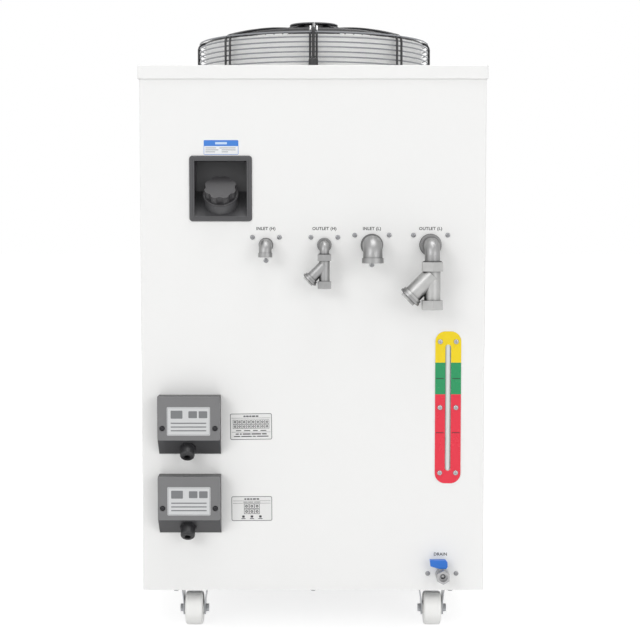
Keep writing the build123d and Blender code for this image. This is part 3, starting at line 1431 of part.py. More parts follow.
tail_y = panel_y + sheet + tail_length - sheet
tank_top = tank_foot + tank_height + 3.0
hose_h, hose_l = fitting_h["thread"], fitting_l["thread"]
with BuildPart() as water_hoses:
    for x, radius, bend in ((inlet_h_x, hose_h, 30.0), (inlet_l_x, hose_l, 45.0)):
        add(hose(radius, bend, [
            (x, tail_y, port_height), (x, tank_middle_y, port_height), (x, tank_middle_y, tank_top),
        ]))
    pump_port_y = pump_y - pump_length / 2 + 26.0
    pump_port_z = pump_axis_z + pump_radius + 26.0
    over_tank_y = panel_y + tank_from_panel + tank_depth + 40.0
    add(hose(hose_l, 40.0, [
        (outlet_l_x, tail_y, port_height), (outlet_l_x, tail_y + tail_length, port_height),
        (pump_x, over_tank_y, port_height), (pump_x, over_tank_y, pump_port_z + 120.0),
        (pump_x, pump_port_y, pump_port_z + 60.0), (pump_x, pump_port_y, pump_port_z),
    ]))
    exchanger_port_y = cabinet_y + exchanger_back - exchanger_depth / 2 - 24.0
    add(hose(hose_h, 30.0, [
        (outlet_h_x, tail_y, port_height), (outlet_h_x, exchanger_port_y - 60.0, port_height),
        (outlet_h_x, exchanger_port_y - 60.0, deck_top + exchanger_height - 40.0),
    ]))
water_hoses.part.label = "water_hoses"
export_step(water_hoses.part, "parts/water_hoses.step")
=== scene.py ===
import math
import bmesh
import bpy
from mathutils import Matrix, Vector


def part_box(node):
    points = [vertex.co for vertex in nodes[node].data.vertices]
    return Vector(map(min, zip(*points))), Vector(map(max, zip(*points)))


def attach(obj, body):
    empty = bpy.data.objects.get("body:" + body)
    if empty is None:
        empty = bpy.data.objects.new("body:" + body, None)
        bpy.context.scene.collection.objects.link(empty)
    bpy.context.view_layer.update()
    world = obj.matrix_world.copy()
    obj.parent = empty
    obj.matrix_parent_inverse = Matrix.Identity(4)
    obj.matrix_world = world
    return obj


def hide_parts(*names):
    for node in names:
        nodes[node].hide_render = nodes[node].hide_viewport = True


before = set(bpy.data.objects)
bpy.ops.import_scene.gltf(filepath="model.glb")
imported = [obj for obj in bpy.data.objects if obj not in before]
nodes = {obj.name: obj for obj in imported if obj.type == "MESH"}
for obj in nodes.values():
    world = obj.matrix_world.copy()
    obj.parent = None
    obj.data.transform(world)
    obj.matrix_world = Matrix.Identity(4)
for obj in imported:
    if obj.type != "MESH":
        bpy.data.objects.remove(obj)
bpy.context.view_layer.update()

# The cabinet skin: folded sheet steel, powder coated white, with the faint
# orange-peel that the coat leaves. Panels hang on the frame by their returns, and
# the top cap drops over them with a small overhang.
def shade(red, green, blue):
    """A colour as seen, 0 to 255, as the linear values that a shader takes."""
    out = []
    for level in (red, green, blue):
        c = level / 255
        out.append(c / 12.92 if c <= 0.04045 else ((c + 0.055) / 1.055) ** 2.4)
    return (*out, 1.0)


def feed(tree, node, inputs):
    """Gives each input of a node a value, or joins it to another node's output."""
    for key, value in inputs.items():
        if isinstance(value, bpy.types.NodeSocket):
            tree.links.new(value, node.inputs[key])
        else:
            node.inputs[key].default_value = value
    return node


def knot(tree, kind, inputs, **settings):
    """A new node of a kind, with its settings and its inputs."""
    made = tree.nodes.new(kind)
    for key, value in settings.items():
        setattr(made, key, value)
    return feed(tree, made, inputs)


def surface(name, colour, rough, metal=0.0, grain=900.0, depth=0.05, mottle=0.03,
            cloud=35.0, swing=0.06):
    """A finish with a fine bump, a slow change of colour and an uneven gloss."""
    finish = bpy.data.materials.new(name)
    finish.use_nodes = True
    tree = finish.node_tree
    place = knot(tree, "ShaderNodeTexCoord", {}).outputs["Object"]
    fine = knot(tree, "ShaderNodeTexNoise", {"Vector": place, "Scale": grain, "Detail": 3.0})
    broad = knot(tree, "ShaderNodeTexNoise", {"Vector": place, "Scale": cloud, "Detail": 4.0})
    cloudy = broad.outputs["Fac"]
    tone = knot(tree, "ShaderNodeMapRange", {
        "Value": cloudy, "To Min": 1.0 - mottle, "To Max": 1.0 + mottle})
    tint = knot(tree, "ShaderNodeVectorMath", {
        0: colour[:3], "Scale": tone.outputs["Result"]}, operation="SCALE")
    gloss = knot(tree, "ShaderNodeMapRange", {
        "Value": cloudy, "To Min": max(0.02, rough - swing), "To Max": min(1.0, rough + swing)})
    bump = knot(tree, "ShaderNodeBump", {
        "Height": fine.outputs["Fac"], "Strength": depth, "Distance": 0.0004})
    feed(tree, tree.nodes["Principled BSDF"], {
        "Base Color": tint.outputs["Vector"], "Roughness": gloss.outputs["Result"],
        "Normal": bump.outputs["Normal"], "Metallic": metal})
    return finish


def coat(material, *names):
    """Gives CAD nodes their finish."""
    for name in names:
        node = nodes[name]
        if not node.material_slots:
            node.data.materials.append(material)
        for place in node.material_slots:
            place.material = material


white_coat = surface("powder_coat_white", shade(243, 243, 242), 0.42, grain=700.0, depth=0.10,
                     mottle=0.006, cloud=6.0)
coat(white_coat, "port_panel", "control_panel", "left_panel", "right_panel", "top_cap")

# The frame: base tray, corner posts and top frame in folded, zinc-coated sheet,
# welded at the corners and painted light grey, with the electrics box inside in the
# same coat. Most of it hides behind the panels.
frame_coat = surface("frame_light_grey", shade(205, 206, 206), 0.5, grain=500.0, depth=0.12, mottle=0.03)
coat(frame_coat, "base_tray", "corner_posts", "top_frame", "control_box")


# Screws under the front edge: three pan heads that hold the port panel's foot to the
# base tray. Each is a turned head with a cross recess, zinc plated.
front_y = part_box("port_panel")[0].y
panel_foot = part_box("port_panel")[0].z


def solid_of(name, bm, material, smooth=35.0):
    """A finished mesh object at the origin from a bmesh, shaded smooth up to an angle."""
    mesh = bpy.data.meshes.new(name)
    bmesh.ops.recalc_face_normals(bm, faces=bm.faces)
    bm.to_mesh(mesh)
    bm.free()
    return piece_of(name, mesh, material, smooth)


def piece_of(name, mesh, material, smooth=35.0):
    """A finished object at the origin from a mesh that is already in place."""
    mesh.name = name
    mesh.materials.clear()
    mesh.materials.append(material)
    if smooth:
        mesh.shade_smooth()
        mesh.set_sharp_from_angle(angle=math.radians(smooth))
    made = bpy.data.objects.new(name, mesh)
    bpy.context.scene.collection.objects.link(made)
    return made


def turned(profile, steps=32):
    """A bmesh turned about Z from (radius, height) pairs; ends on the axis are closed."""
    bm = bmesh.new()
    rings = []
    for radius, height in profile:
        if radius < 1e-7:
            rings.append([bm.verts.new((0, 0, height))])
        else:
            turn = [2 * math.pi * n / steps for n in range(steps)]
            rings.append([bm.verts.new((radius * math.cos(a), radius * math.sin(a), height)) for a in turn])
    for low, high in zip(rings, rings[1:]):
        for n in range(steps):
            after = (n + 1) % steps
            corners = [low[n % len(low)], low[after % len(low)], high[after % len(high)], high[n % len(high)]]
            face = []
            for corner in corners:
                if corner not in face:
                    face.append(corner)
            if len(face) > 2:
                bm.faces.new(face)
    return bm


def cross_head(name, radius, rise, cross, sunk, steps=24):
    """A pan head with a cross recess, its seat at height 0, facing +Z."""
    head = turned([(0, 0), (radius, 0), (radius, rise * 0.35), (radius * 0.93, rise * 0.65),
                   (radius * 0.72, rise * 0.9), (radius * 0.4, rise), (0, rise)], steps)
    mesh = bpy.data.meshes.new(name)
    bmesh.ops.recalc_face_normals(head, faces=head.faces)
    head.to_mesh(mesh)
    head.free()
    body = bpy.data.objects.new(name, mesh)
    bpy.context.scene.collection.objects.link(body)
    cut = bmesh.new()
    wide, narrow = cross, cross * 0.3
    outline = [(wide, narrow), (narrow, narrow), (narrow, wide)]
    corners = []
    for quarter in range(4):
        turn = Matrix.Rotation(quarter * math.pi / 2, 2)
        for point in outline:
            corners.append(turn @ Vector(point))
    top = [cut.verts.new((p.x, p.y, rise * 1.5)) for p in corners]
    foot = [cut.verts.new((p.x * 0.55, p.y * 0.55, rise - sunk)) for p in corners]
    cut.faces.new(top)
    cut.faces.new(foot)
    for n in range(len(top)):
        after = (n + 1) % len(top)
        cut.faces.new((top[n], foot[n], foot[after], top[after]))
    bmesh.ops.recalc_face_normals(cut, faces=cut.faces)
    tool_mesh = bpy.data.meshes.new(name + "_cross")
    cut.to_mesh(tool_mesh)
    cut.free()
    tool = bpy.data.objects.new(name + "_cross", tool_mesh)
    bpy.context.scene.collection.objects.link(tool)
    bite = body.modifiers.new("recess", "BOOLEAN")
    bite.object = tool
    bite.solver = "EXACT"
    view = bpy.context.evaluated_depsgraph_get()
    done = bpy.data.meshes.new_from_object(body.evaluated_get(view))
    body.modifiers.clear()
    body.data = done
    bpy.data.objects.remove(tool)
    return body


def new_tree(name, sockets):
    """A node tree that takes a geometry and named inputs and gives a geometry."""
    tree = bpy.data.node_groups.new(name, "GeometryNodeTree")
    face = tree.interface
    face.new_socket("Geometry", in_out="INPUT", socket_type="NodeSocketGeometry")
    for title, kind in sockets.items():
        face.new_socket(title, in_out="INPUT", socket_type="NodeSocket" + kind)
    face.new_socket("Geometry", in_out="OUTPUT", socket_type="NodeSocketGeometry")
    return tree, tree.nodes.new("NodeGroupInput").outputs


def realized(tree, instances):
    """Makes a tree's instances plain geometry, which the export keeps."""
    real = knot(tree, "GeometryNodeRealizeInstances", {"Geometry": instances})
    return real.outputs["Geometry"]


def dressed(tree, shape, finish):
    """Ends a tree: the shape gets its finish and goes out."""
    dress = knot(tree, "GeometryNodeSetMaterial", {"Geometry": shape, "Material": finish})
    knot(tree, "NodeGroupOutput", {"Geometry": dress.outputs["Geometry"]})
    return tree


def setting_tree():
    """Sets one part on each point of a mesh, facing the way its attribute says."""
    tree, given = new_tree("set_parts", {
        "Part": "Object", "Size": "Float", "Largest turn": "Float", "Seed": "Int",
        "Finish": "Material"})
    part = knot(tree, "GeometryNodeObjectInfo", {"Object": given["Part"]})
    facing = knot(tree, "GeometryNodeInputNamedAttribute", {"Name": "facing"},
                  data_type="FLOAT_VECTOR")
    aim = knot(tree, "FunctionNodeAlignRotationToVector", {
        "Vector": facing.outputs["Attribute"]}, axis="Z")
    chance = knot(tree, "FunctionNodeRandomValue", {
        3: given["Largest turn"], "Seed": given["Seed"]}, data_type="FLOAT")
    about = knot(tree, "ShaderNodeCombineXYZ", {"Z": chance.outputs[1]})
    spin = knot(tree, "FunctionNodeRotateRotation", {
        "Rotation": aim.outputs["Rotation"], "Rotate By": about.outputs["Vector"]},
        rotation_space="LOCAL")
    place = knot(tree, "GeometryNodeInstanceOnPoints", {
        "Points": given["Geometry"], "Instance": part.outputs["Geometry"],
        "Rotation": spin.outputs["Rotation"], "Scale": given["Size"]})
    return dressed(tree, realized(tree, place.outputs["Instances"]), given["Finish"])


set_parts = setting_tree()


def grown(name, start, tree, inputs, material, smooth=35.0):
    """Runs a node tree on an object with named inputs and keeps the plain mesh."""
    made = start.modifiers.new("grow", "NODES")
    made.node_group = tree
    for item in tree.interface.items_tree:
        if item.in_out == "INPUT" and item.name in inputs:
            made[item.identifier] = inputs[item.name]
    view = bpy.context.evaluated_depsgraph_get()
    mesh = bpy.data.meshes.new_from_object(start.evaluated_get(view))
    start.modifiers.clear()
    bpy.data.objects.remove(start)
    return piece_of(name, mesh, material, smooth)


def set_out(name, part, places, facing, material, turn=0.0, seed=1, size=1.0):
    """Sets a part at each place, facing one way, as one piece."""
    mesh = bpy.data.meshes.new(name + "_places")
    mesh.from_pydata([tuple(p) for p in places], [], [])
    aim = mesh.attributes.new("facing", "FLOAT_VECTOR", "POINT")
    for n in range(len(places)):
        aim.data[n].vector = facing
    start = bpy.data.objects.new(name + "_places", mesh)
    bpy.context.scene.collection.objects.link(start)
    values = {"Part": part, "Size": size, "Largest turn": turn, "Seed": seed, "Finish": material}
    return grown(name, start, set_parts, values, material)


zinc = surface("zinc_plate_screw", shade(150, 151, 153), 0.32, metal=1.0, grain=1500.0,
               depth=0.05, mottle=0.05)
foot_screw_x = (-0.260, 0.0, 0.260)
foot_screw_back = 0.010
pan_head = cross_head("pan_head", radius=0.0045, rise=0.0024, cross=0.0024, sunk=0.0013)
foot_screws = set_out(
    "foot_screws", pan_head, [(x, front_y + foot_screw_back, panel_foot) for x in foot_screw_x],
    (0, 0, -1), zinc, turn=1.5, seed=4, size=1.4,
)
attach(foot_screws, "cabinet")

# The fan: a white rolled shroud with a sheet flange, an outer-rotor motor and five
# steel blades, painted black. The motor hangs from the plate in the middle of the guard.
fan_y = (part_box("fan_shroud")[0].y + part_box("fan_shroud")[1].y) / 2
fan_black = surface("fan_black", shade(38, 38, 40), 0.42, grain=600.0, depth=0.12, mottle=0.05)
coat(fan_black, "fan_stator", "fan_rotor")
# The shroud's white is a lighter copy of the cabinet's paint: painted light against the guard's shadow on it.
shroud_white_painted_light = surface("shroud_white_painted_light", shade(252, 252, 251), 0.40, grain=700.0, depth=0.10,
                       mottle=0.006, cloud=6.0)
coat(shroud_white_painted_light, "fan_shroud")

# The wire guard: rings of drawn wire welded inside eight pairs of thicker arms, which
# are bent over the top and down to feet on the shroud's flange. Dipped in dark paint,
# with the rings of the side left in a paler zinc.
cap_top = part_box("top_cap")[1].z
guard_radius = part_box("fan_guard")[1].x
arm_wire, ring_wire = 0.0046, 0.0030
arm_inset = 0.0041
pair_gap = 0.013
side_count, side_first, side_pitch = 8, 0.015, 0.0097
top_count, top_pitch = 10, 0.018
guard_corner = 0.015
plate_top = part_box("fan_guard")[1].z
plate_thick = 0.003
plate_radius = 0.0510
flange_thick, foot_end, foot_bend = 0.0015, 0.234, 0.006
arm_tips = (0.046, 0.036)
arm_middle = guard_radius - arm_wire / 2
arm_low = flange_thick + arm_wire / 2
dome_out = arm_middle - guard_corner
dome_low, dome_rise, dome_fall = 0.0870, 0.00509, 0.000263
corner_high = dome_low - guard_corner * dome_rise / top_pitch
plate_under = plate_top - cap_top - plate_thick - arm_wire / 2


def dome(radius):
    """The height of the arms' middle line over the cap, at a radius on the domed top."""
    steps = (dome_out - radius) / top_pitch
    return dome_low + dome_rise * steps - dome_fall * steps ** 2


def bent_wire(points, radii, steps=6):
    """The middle line of a wire bent at each inner point with its own radius, in a plane."""
    line = [Vector(points[0])]
    for before, at, after, radius in zip(points, points[1:], points[2:], radii):
        a = (Vector(before) - Vector(at)).normalized()
        b = (Vector(after) - Vector(at)).normalized()
        half = a.angle(b) / 2
        reach = radius / math.tan(half)
        centre = Vector(at) + (a + b).normalized() * (radius / math.sin(half))
        first, last = Vector(at) + a * reach - centre, Vector(at) + b * reach - centre
        for n in range(steps + 1):
            line.append(centre + first.slerp(last, n / steps).normalized() * radius)
    line.append(Vector(points[-1]))
    return line


def wire_curve(name, lines):
    """A curve object of open wires."""
    curve = bpy.data.curves.new(name, "CURVE")
    curve.dimensions = "3D"
    for line in lines:
        wire = curve.splines.new("POLY")
        wire.points.add(len(line) - 1)
        for point, place in zip(wire.points, line):
            point.co = (*place, 1.0)
    made = bpy.data.objects.new(name, curve)
    bpy.context.scene.collection.objects.link(made)
    return made


def arms_tree():
    """Thickens a pair of arms and sets it round the fan's axis."""
    tree, given = new_tree("guard_arms", {
        "Pairs": "Int", "Wire radius": "Float", "Axis place": "Vector", "Finish": "Material"})
    wire = knot(tree, "GeometryNodeCurvePrimitiveCircle", {
        "Resolution": 10, "Radius": given["Wire radius"]})
    thick = knot(tree, "GeometryNodeCurveToMesh", {
        "Curve": given["Geometry"], "Profile Curve": wire.outputs["Curve"], "Fill Caps": True})
    spots = knot(tree, "GeometryNodePoints", {"Count": given["Pairs"]})
    index = knot(tree, "GeometryNodeInputIndex", {}).outputs["Index"]
    share = knot(tree, "ShaderNodeMath", {0: index, 1: given["Pairs"]}, operation="DIVIDE")
    angle = knot(tree, "ShaderNodeMath", {
        0: share.outputs["Value"], 1: 2 * math.pi}, operation="MULTIPLY")
    about = knot(tree, "ShaderNodeCombineXYZ", {"Z": angle.outputs["Value"]})
    place = knot(tree, "GeometryNodeInstanceOnPoints", {
        "Points": spots.outputs["Points"], "Instance": thick.outputs["Mesh"],
        "Rotation": about.outputs["Vector"]})
    shift = knot(tree, "GeometryNodeTransform", {
        "Geometry": realized(tree, place.outputs["Instances"]),
        "Translation": given["Axis place"]})
    return dressed(tree, shift.outputs["Geometry"], given["Finish"])


def rings_tree():
    """Welded rings: each radius is a step on from the last, and the rises fall off."""
    tree, given = new_tree("guard_rings", {
        "Rings": "Int", "First radius": "Float", "Radius step": "Float",
        "Height step": "Float", "Height fall": "Float", "Wire radius": "Float",
        "Axis place": "Vector", "Finish": "Material"})
    index = knot(tree, "GeometryNodeInputIndex", {}).outputs["Index"]
    fall = knot(tree, "ShaderNodeMath", {
        0: index, 1: given["Height fall"], 2: given["Height step"]}, operation="MULTIPLY_ADD")
    lift = knot(tree, "ShaderNodeMath", {
        0: index, 1: fall.outputs["Value"]}, operation="MULTIPLY")
    grow = knot(tree, "ShaderNodeMath", {
        0: index, 1: given["Radius step"], 2: given["First radius"]}, operation="MULTIPLY_ADD")
    height = knot(tree, "ShaderNodeCombineXYZ", {"Z": lift.outputs["Value"]})
    spots = knot(tree, "GeometryNodePoints", {
        "Count": given["Rings"], "Position": height.outputs["Vector"]})
    ring = knot(tree, "GeometryNodeCurvePrimitiveCircle", {"Resolution": 96, "Radius": 1.0})
    place = knot(tree, "GeometryNodeInstanceOnPoints", {
        "Points": spots.outputs["Points"], "Instance": ring.outputs["Curve"],
        "Scale": grow.outputs["Value"]})
    wire = knot(tree, "GeometryNodeCurvePrimitiveCircle", {
        "Resolution": 8, "Radius": given["Wire radius"]})
    thick = knot(tree, "GeometryNodeCurveToMesh", {
        "Curve": realized(tree, place.outputs["Instances"]),
        "Profile Curve": wire.outputs["Curve"]})
    shift = knot(tree, "GeometryNodeTransform", {
        "Geometry": thick.outputs["Mesh"], "Translation": given["Axis place"]})
    return dressed(tree, shift.outputs["Geometry"], given["Finish"])


def seed_object(name):
    """An empty mesh that a node tree can start from."""
    made = bpy.data.objects.new(name, bpy.data.meshes.new(name))
    bpy.context.scene.collection.objects.link(made)
    return made


guard_paint = surface("guard_dark_paint", shade(42, 42, 44), 0.30, grain=900.0, depth=0.08, mottle=0.05)
ring_zinc = surface("guard_ring_zinc", shade(140, 142, 146), 0.34, metal=0.6, grain=900.0,
                    depth=0.08, mottle=0.05)
dome_points = [(r, 0, dome(r)) for r in [dome_out - n * 0.012 for n in range(14)]]
arm_line = bent_wire(
    [(foot_end, 0, arm_low), (arm_middle, 0, arm_low), (arm_middle, 0, corner_high), dome_points[0]],
    [foot_bend, guard_corner * 0.98],
)
arm_line += [Vector(point) for point in dome_points[1:]]
arm_line += [Vector((x, 0, plate_under)) for x in arm_tips]
pair = [[p + Vector((0, side * pair_gap / 2, 0)) for p in arm_line] for side in (-1, 1)]
axis_place = (0.0, fan_y, cap_top)
guard_arms = grown(
    "guard_arms", wire_curve("arm_pair", pair), arms_tree(),
    {"Pairs": 8, "Wire radius": arm_wire / 2, "Axis place": axis_place, "Finish": guard_paint}, guard_paint,
)
ring_nodes = rings_tree()
side_rings = grown(
    "guard_side_rings", seed_object("side_ring_seed"), ring_nodes,
    {"Rings": side_count, "First radius": guard_radius - arm_inset - ring_wire / 2, "Radius step": 0.0,
     "Height step": side_pitch, "Height fall": 0.0, "Wire radius": ring_wire / 2,
     "Axis place": (0.0, fan_y, cap_top + side_first), "Finish": ring_zinc}, ring_zinc,
)
top_first_high = dome_low - arm_wire / 2 - ring_wire / 2
top_rings = grown(
    "guard_top_rings", seed_object("top_ring_seed"), ring_nodes,
    {"Rings": top_count, "First radius": dome_out, "Radius step": -top_pitch,
     "Height step": dome_rise, "Height fall": -dome_fall, "Wire radius": ring_wire / 2,
     "Axis place": (0.0, fan_y, cap_top + top_first_high), "Finish": guard_paint}, guard_paint,
)
edge = 0.0006
hub_radius, hub_sunk = 0.012, 0.0008
plate = turned([
    (0, 0), (plate_radius - edge, 0), (plate_radius, edge), (plate_radius, plate_thick - edge),
    (plate_radius - edge, plate_thick), (hub_radius, plate_thick),
    (0.0115, plate_thick - hub_sunk), (0, plate_thick - hub_sunk)], 64)
bmesh.ops.translate(plate, verts=plate.verts, vec=(0, fan_y, plate_top - plate_thick))
plate_grey = surface("motor_plate_grey", shade(98, 99, 101), 0.40, grain=900.0, depth=0.08, mottle=0.05)
motor_plate = solid_of("motor_plate", plate, plate_grey)
for piece in (guard_arms, side_rings, top_rings, motor_plate):
    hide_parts("fan_guard")
    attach(piece, "cabinet")

# Screws of the fan: eight pan heads with washers clamp the guard's feet and the
# shroud's flange to the cap, and four more hold the motor under its plate.
foot_ring = guard_radius - 0.010
foot_thick = 0.0055
bore, washer_radius, washer_thick = 0.0022, 0.0075, 0.0011
motor_circle, motor_sunk = 0.030, 0.0026
washer = turned([(bore, 0), (washer_radius, 0), (washer_radius, washer_thick),
                 (bore, washer_thick), (bore, 0)], 28)
washer_part = solid_of("washer", washer, zinc)
foot_places = []
for n in range(8):
    turn = n * math.pi / 4
    foot_places.append((foot_ring * math.cos(turn), fan_y + foot_ring * math.sin(turn),
                        cap_top + foot_thick))
foot_washers = set_out("guard_foot_washers", washer_part, foot_places, (0, 0, 1), zinc)
head_places = [(x, y, z + washer_thick) for x, y, z in foot_places]
guard_foot_screws = set_out("guard_foot_screws", pan_head, head_places, (0, 0, 1), zinc,
                            turn=1.5, seed=7, size=1.1)
motor_places = []
for n in range(4):
    turn = math.pi / 4 + n * math.pi / 2
    motor_places.append((motor_circle * math.cos(turn), fan_y + motor_circle * math.sin(turn),
                         plate_top - motor_sunk))
motor_screws = set_out("motor_screws", pan_head, motor_places, (0, 0, 1), zinc,
                       turn=1.5, seed=9, size=1.0)
for piece in (foot_washers, guard_foot_screws):
    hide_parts("guard_screws")
for piece in (foot_washers, guard_foot_screws, motor_screws):
    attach(piece, "cabinet")
bpy.data.objects.remove(washer_part)

# The fan's cable and its gland in the cap: a black jacketed lead, held between the
# front pair of guard arms all the way from the motor's plate to a domed gland.
jacket = surface("cable_jacket_black", shade(34, 34, 35), 0.5, grain=800.0, depth=0.1, mottle=0.05)
coat(jacket, "fan_cable")
gland_black = surface("gland_black", shade(40, 40, 42), 0.42, grain=700.0, depth=0.10, mottle=0.04)
coat(gland_black, "cable_glands")

# The filler: a moulded black recess with a ridged bezel, and in it a slanting neck
# with a soft seal and a lobed screw cap, moulded in dark grey.
recess_black = surface("recess_black", shade(80, 80, 82), 0.46, grain=900.0, depth=0.12, mottle=0.05)
cap_grey = surface("filler_cap_grey", shade(59, 58, 60), 0.40, grain=1100.0, depth=0.14, mottle=0.05)
seal_black = surface("seal_black", shade(30, 30, 30), 0.6, grain=500.0, depth=0.1)
coat(recess_black, "filler_recess", "filler_neck")
coat(cap_grey, "filler_cap")
coat(seal_black, "cap_seal")


# The filler's label: a printed film on the panel above the bezel, blue above and
# white below, with plain rules in place of words.
def cut_sheet(name, loops, thick):
    """A flat sheet in the XY plane, from z 0 to its thickness, cut to closed outlines."""
    curve = bpy.data.curves.new(name, "CURVE")
    curve.dimensions = "2D"
    curve.fill_mode = "BOTH"
    curve.extrude = thick / 2
    for loop in loops:
        wire = curve.splines.new("POLY")
        wire.points.add(len(loop) - 1)
        wire.use_cyclic_u = True
        for point, place in zip(wire.points, loop):
            point.co = (place[0], place[1], 0.0, 1.0)
    start = bpy.data.objects.new(name, curve)
    bpy.context.scene.collection.objects.link(start)
    view = bpy.context.evaluated_depsgraph_get()
    mesh = bpy.data.meshes.new_from_object(start.evaluated_get(view))
    bpy.data.objects.remove(start)
    mesh.transform(Matrix.Translation((0, 0, thick / 2)))
    return mesh


def rounded(width, height, radius, x=0.0, y=0.0, steps=8):
    """The outline of a rectangle with round corners, about a point."""
    loop = []
    for corner, (sx, sy) in enumerate(((1, 1), (-1, 1), (-1, -1), (1, -1))):
        for n in range(steps + 1):
            turn = corner * math.pi / 2 + n / steps * math.pi / 2
            cx, cy = x + sx * (width / 2 - radius), y + sy * (height / 2 - radius)
            loop.append((cx + radius * math.cos(turn), cy + radius * math.sin(turn)))
    return loop


def disc(radius, x, y, steps=24):
    """A round outline."""
    turn = [2 * math.pi * n / steps for n in range(steps)]
    return [(x + radius * math.cos(a), y + radius * math.sin(a)) for a in turn]


port_side = Matrix.Rotation(math.pi / 2, 4, "X")


def on_port_side(mesh, x, z, proud):
    """Stands a flat mesh up on the port panel, facing out, a distance proud of it."""
    mesh.transform(Matrix.Translation((x, front_y - proud, z)) @ port_side)
    return mesh


def printed(name, colour, rough, mottle=0.02):
    """A smooth film or a screen-printed ink."""
    return surface(name, colour, rough, grain=600.0, depth=0.02, mottle=mottle)


def printed_sheet(name, loops, x, z, proud, thick, material, tilt=0.0):
    """A thin printed piece on the port side."""
    mesh = cut_sheet(name, loops, thick)
    if tilt:
        mesh.transform(Matrix.Rotation(math.radians(tilt), 4, "Z"))
    made = piece_of(name, on_port_side(mesh, x, z, proud), material, smooth=None)
    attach(made, "cabinet")
    return made


film = 0.00015
ink_film = 0.00006
fill_x, fill_z = -0.1707, 0.9147
fill_width, fill_height = 0.0645, 0.0270
label_white = printed("label_white", shade(236, 238, 240), 0.32, 0.01)
label_blue = printed("label_blue", shade(66, 130, 216), 0.32)
print_grey = printed("print_grey", shade(132, 136, 142), 0.45)
print_pale = printed("print_pale", shade(200, 220, 244), 0.4)
printed_sheet("filler_label", [rounded(fill_width, fill_height, 0.002)],
              fill_x, fill_z, 0.0, film, label_blue)
field = rounded(fill_width - 0.0016, fill_height * 0.56, 0.0008, 0.0, -fill_height * 0.19)
printed_sheet("filler_label_field", [field], fill_x, fill_z, film, ink_film, label_white)
rules = [rounded(w, 0.0011, 0.0003, x, y) for w, x, y in (
    (0.020, -0.019, -0.0010), (0.030, 0.012, -0.0010), (0.024, -0.017, -0.0046),
    (0.026, 0.014, -0.0046), (0.018, -0.020, -0.0082), (0.012, 0.007, -0.0082))]
printed_sheet("filler_label_rules", rules, fill_x, fill_z, film + ink_film, ink_film, print_grey)
printed_sheet("filler_label_heading", [rounded(0.022, 0.0042, 0.001, 0.0, 0.0078)],
              fill_x, fill_z, film, ink_film, print_pale)

# The hose fittings: cast stainless elbows and Y-strainers on threaded tubes that come
# through the panel, with dark thread sealant at each screwed joint.
as_cast = {"metal": 1.0, "grain": 650.0, "depth": 0.60, "mottle": 0.14, "cloud": 70.0, "swing": 0.12}
cast_steel = surface("cast_stainless", shade(158, 158, 158), 0.40, **as_cast)
pale_cast = surface("cast_stainless_pale", shade(178, 178, 177), 0.40, **as_cast)


def painted_shade_in_hollows(material, reach, darkest):
    """Paints shade into a finish: its colour darkens in corners and seams, as far as they are closed in."""
    tree = material.node_tree
    bsdf = tree.nodes["Principled BSDF"]
    unshaded_colour = bsdf.inputs["Base Color"].links[0].from_socket
    corner = knot(tree, "ShaderNodeAmbientOcclusion", {"Distance": reach}, samples=8)
    level = knot(tree, "ShaderNodeMapRange", {
        "Value": corner.outputs["AO"], "From Min": 0.25, "From Max": 0.95,
        "To Min": darkest, "To Max": 1.0})
    toned = knot(tree, "ShaderNodeVectorMath", {
        0: unshaded_colour, "Scale": level.outputs["Result"]}, operation="SCALE")
    feed(tree, bsdf, {"Base Color": toned.outputs["Vector"]})


# Painted shade: the castings darken in their corners and seams.
for casting in (cast_steel, pale_cast):
    painted_shade_in_hollows(casting, reach=0.014, darkest=0.22)
turned_steel = surface("turned_stainless", shade(172, 172, 173), 0.30, metal=1.0, grain=1500.0,
                       depth=0.10, mottle=0.04)
coat(cast_steel, "inlet_h_elbow", "inlet_l_elbow", "outlet_h_elbow", "outlet_l_elbow", "strainer_h_body")
coat(pale_cast, "strainer_l_body", "strainer_plugs")
coat(turned_steel, "port_flanges", "strainer_screens")

# Gaskets and sealant: a dark rubber ring under the foot of each fitting, which also
# stands as painted shade for the gap round each tube, a turn of dark sealant where a
# street elbow screws into its strainer and on each plug's thread, and the bead that is
# cast round the mouth for the plug.
port_z = 0.7337
port_x = {"h": (-0.0878, 0.0211), "l": (0.1098, 0.2191)}
foot_radius = {"h": 0.0130, "l": 0.0199}
gasket_width = {"h": 0.0005, "l": 0.0010}
thread_radius = {"h": 0.01042, "l": 0.01656}
joint_z = {"h": 0.7170, "l": 0.7034}
reach_out = {"h": 0.038, "l": 0.048}
branch_drop = {"h": 0.0194, "l": 0.0238}
rim_start, rim_length = {"h": 0.0325, "l": 0.0500}, {"h": 0.0075, "l": 0.0100}
rim_radius = {"h": 0.01335, "l": 0.0200}
plug_radius = {"h": 0.0105, "l": 0.0140}
# The gaskets' dark rubber is partly painted shade: it stands for the gap round each tube.
gap_shade_rubber = surface("gasket_rubber_and_gap_shade", shade(50, 50, 52), 0.6, grain=700.0, depth=0.12, mottle=0.05)
sealant = surface("thread_sealant", shade(46, 47, 50), 0.5, grain=900.0, depth=0.3, mottle=0.10)


def ring_of(name, inner, outer, height, steps=56):
    """A flat ring with a softened outer edge, its seat at height 0."""
    soft = min((outer - inner) * 0.4, height * 0.4)
    profile = [(inner, 0), (outer, 0), (outer, height - soft), (outer - soft, height),
               (inner, height), (inner, 0)]
    return solid_of(name, turned(profile, steps), gap_shade_rubber)


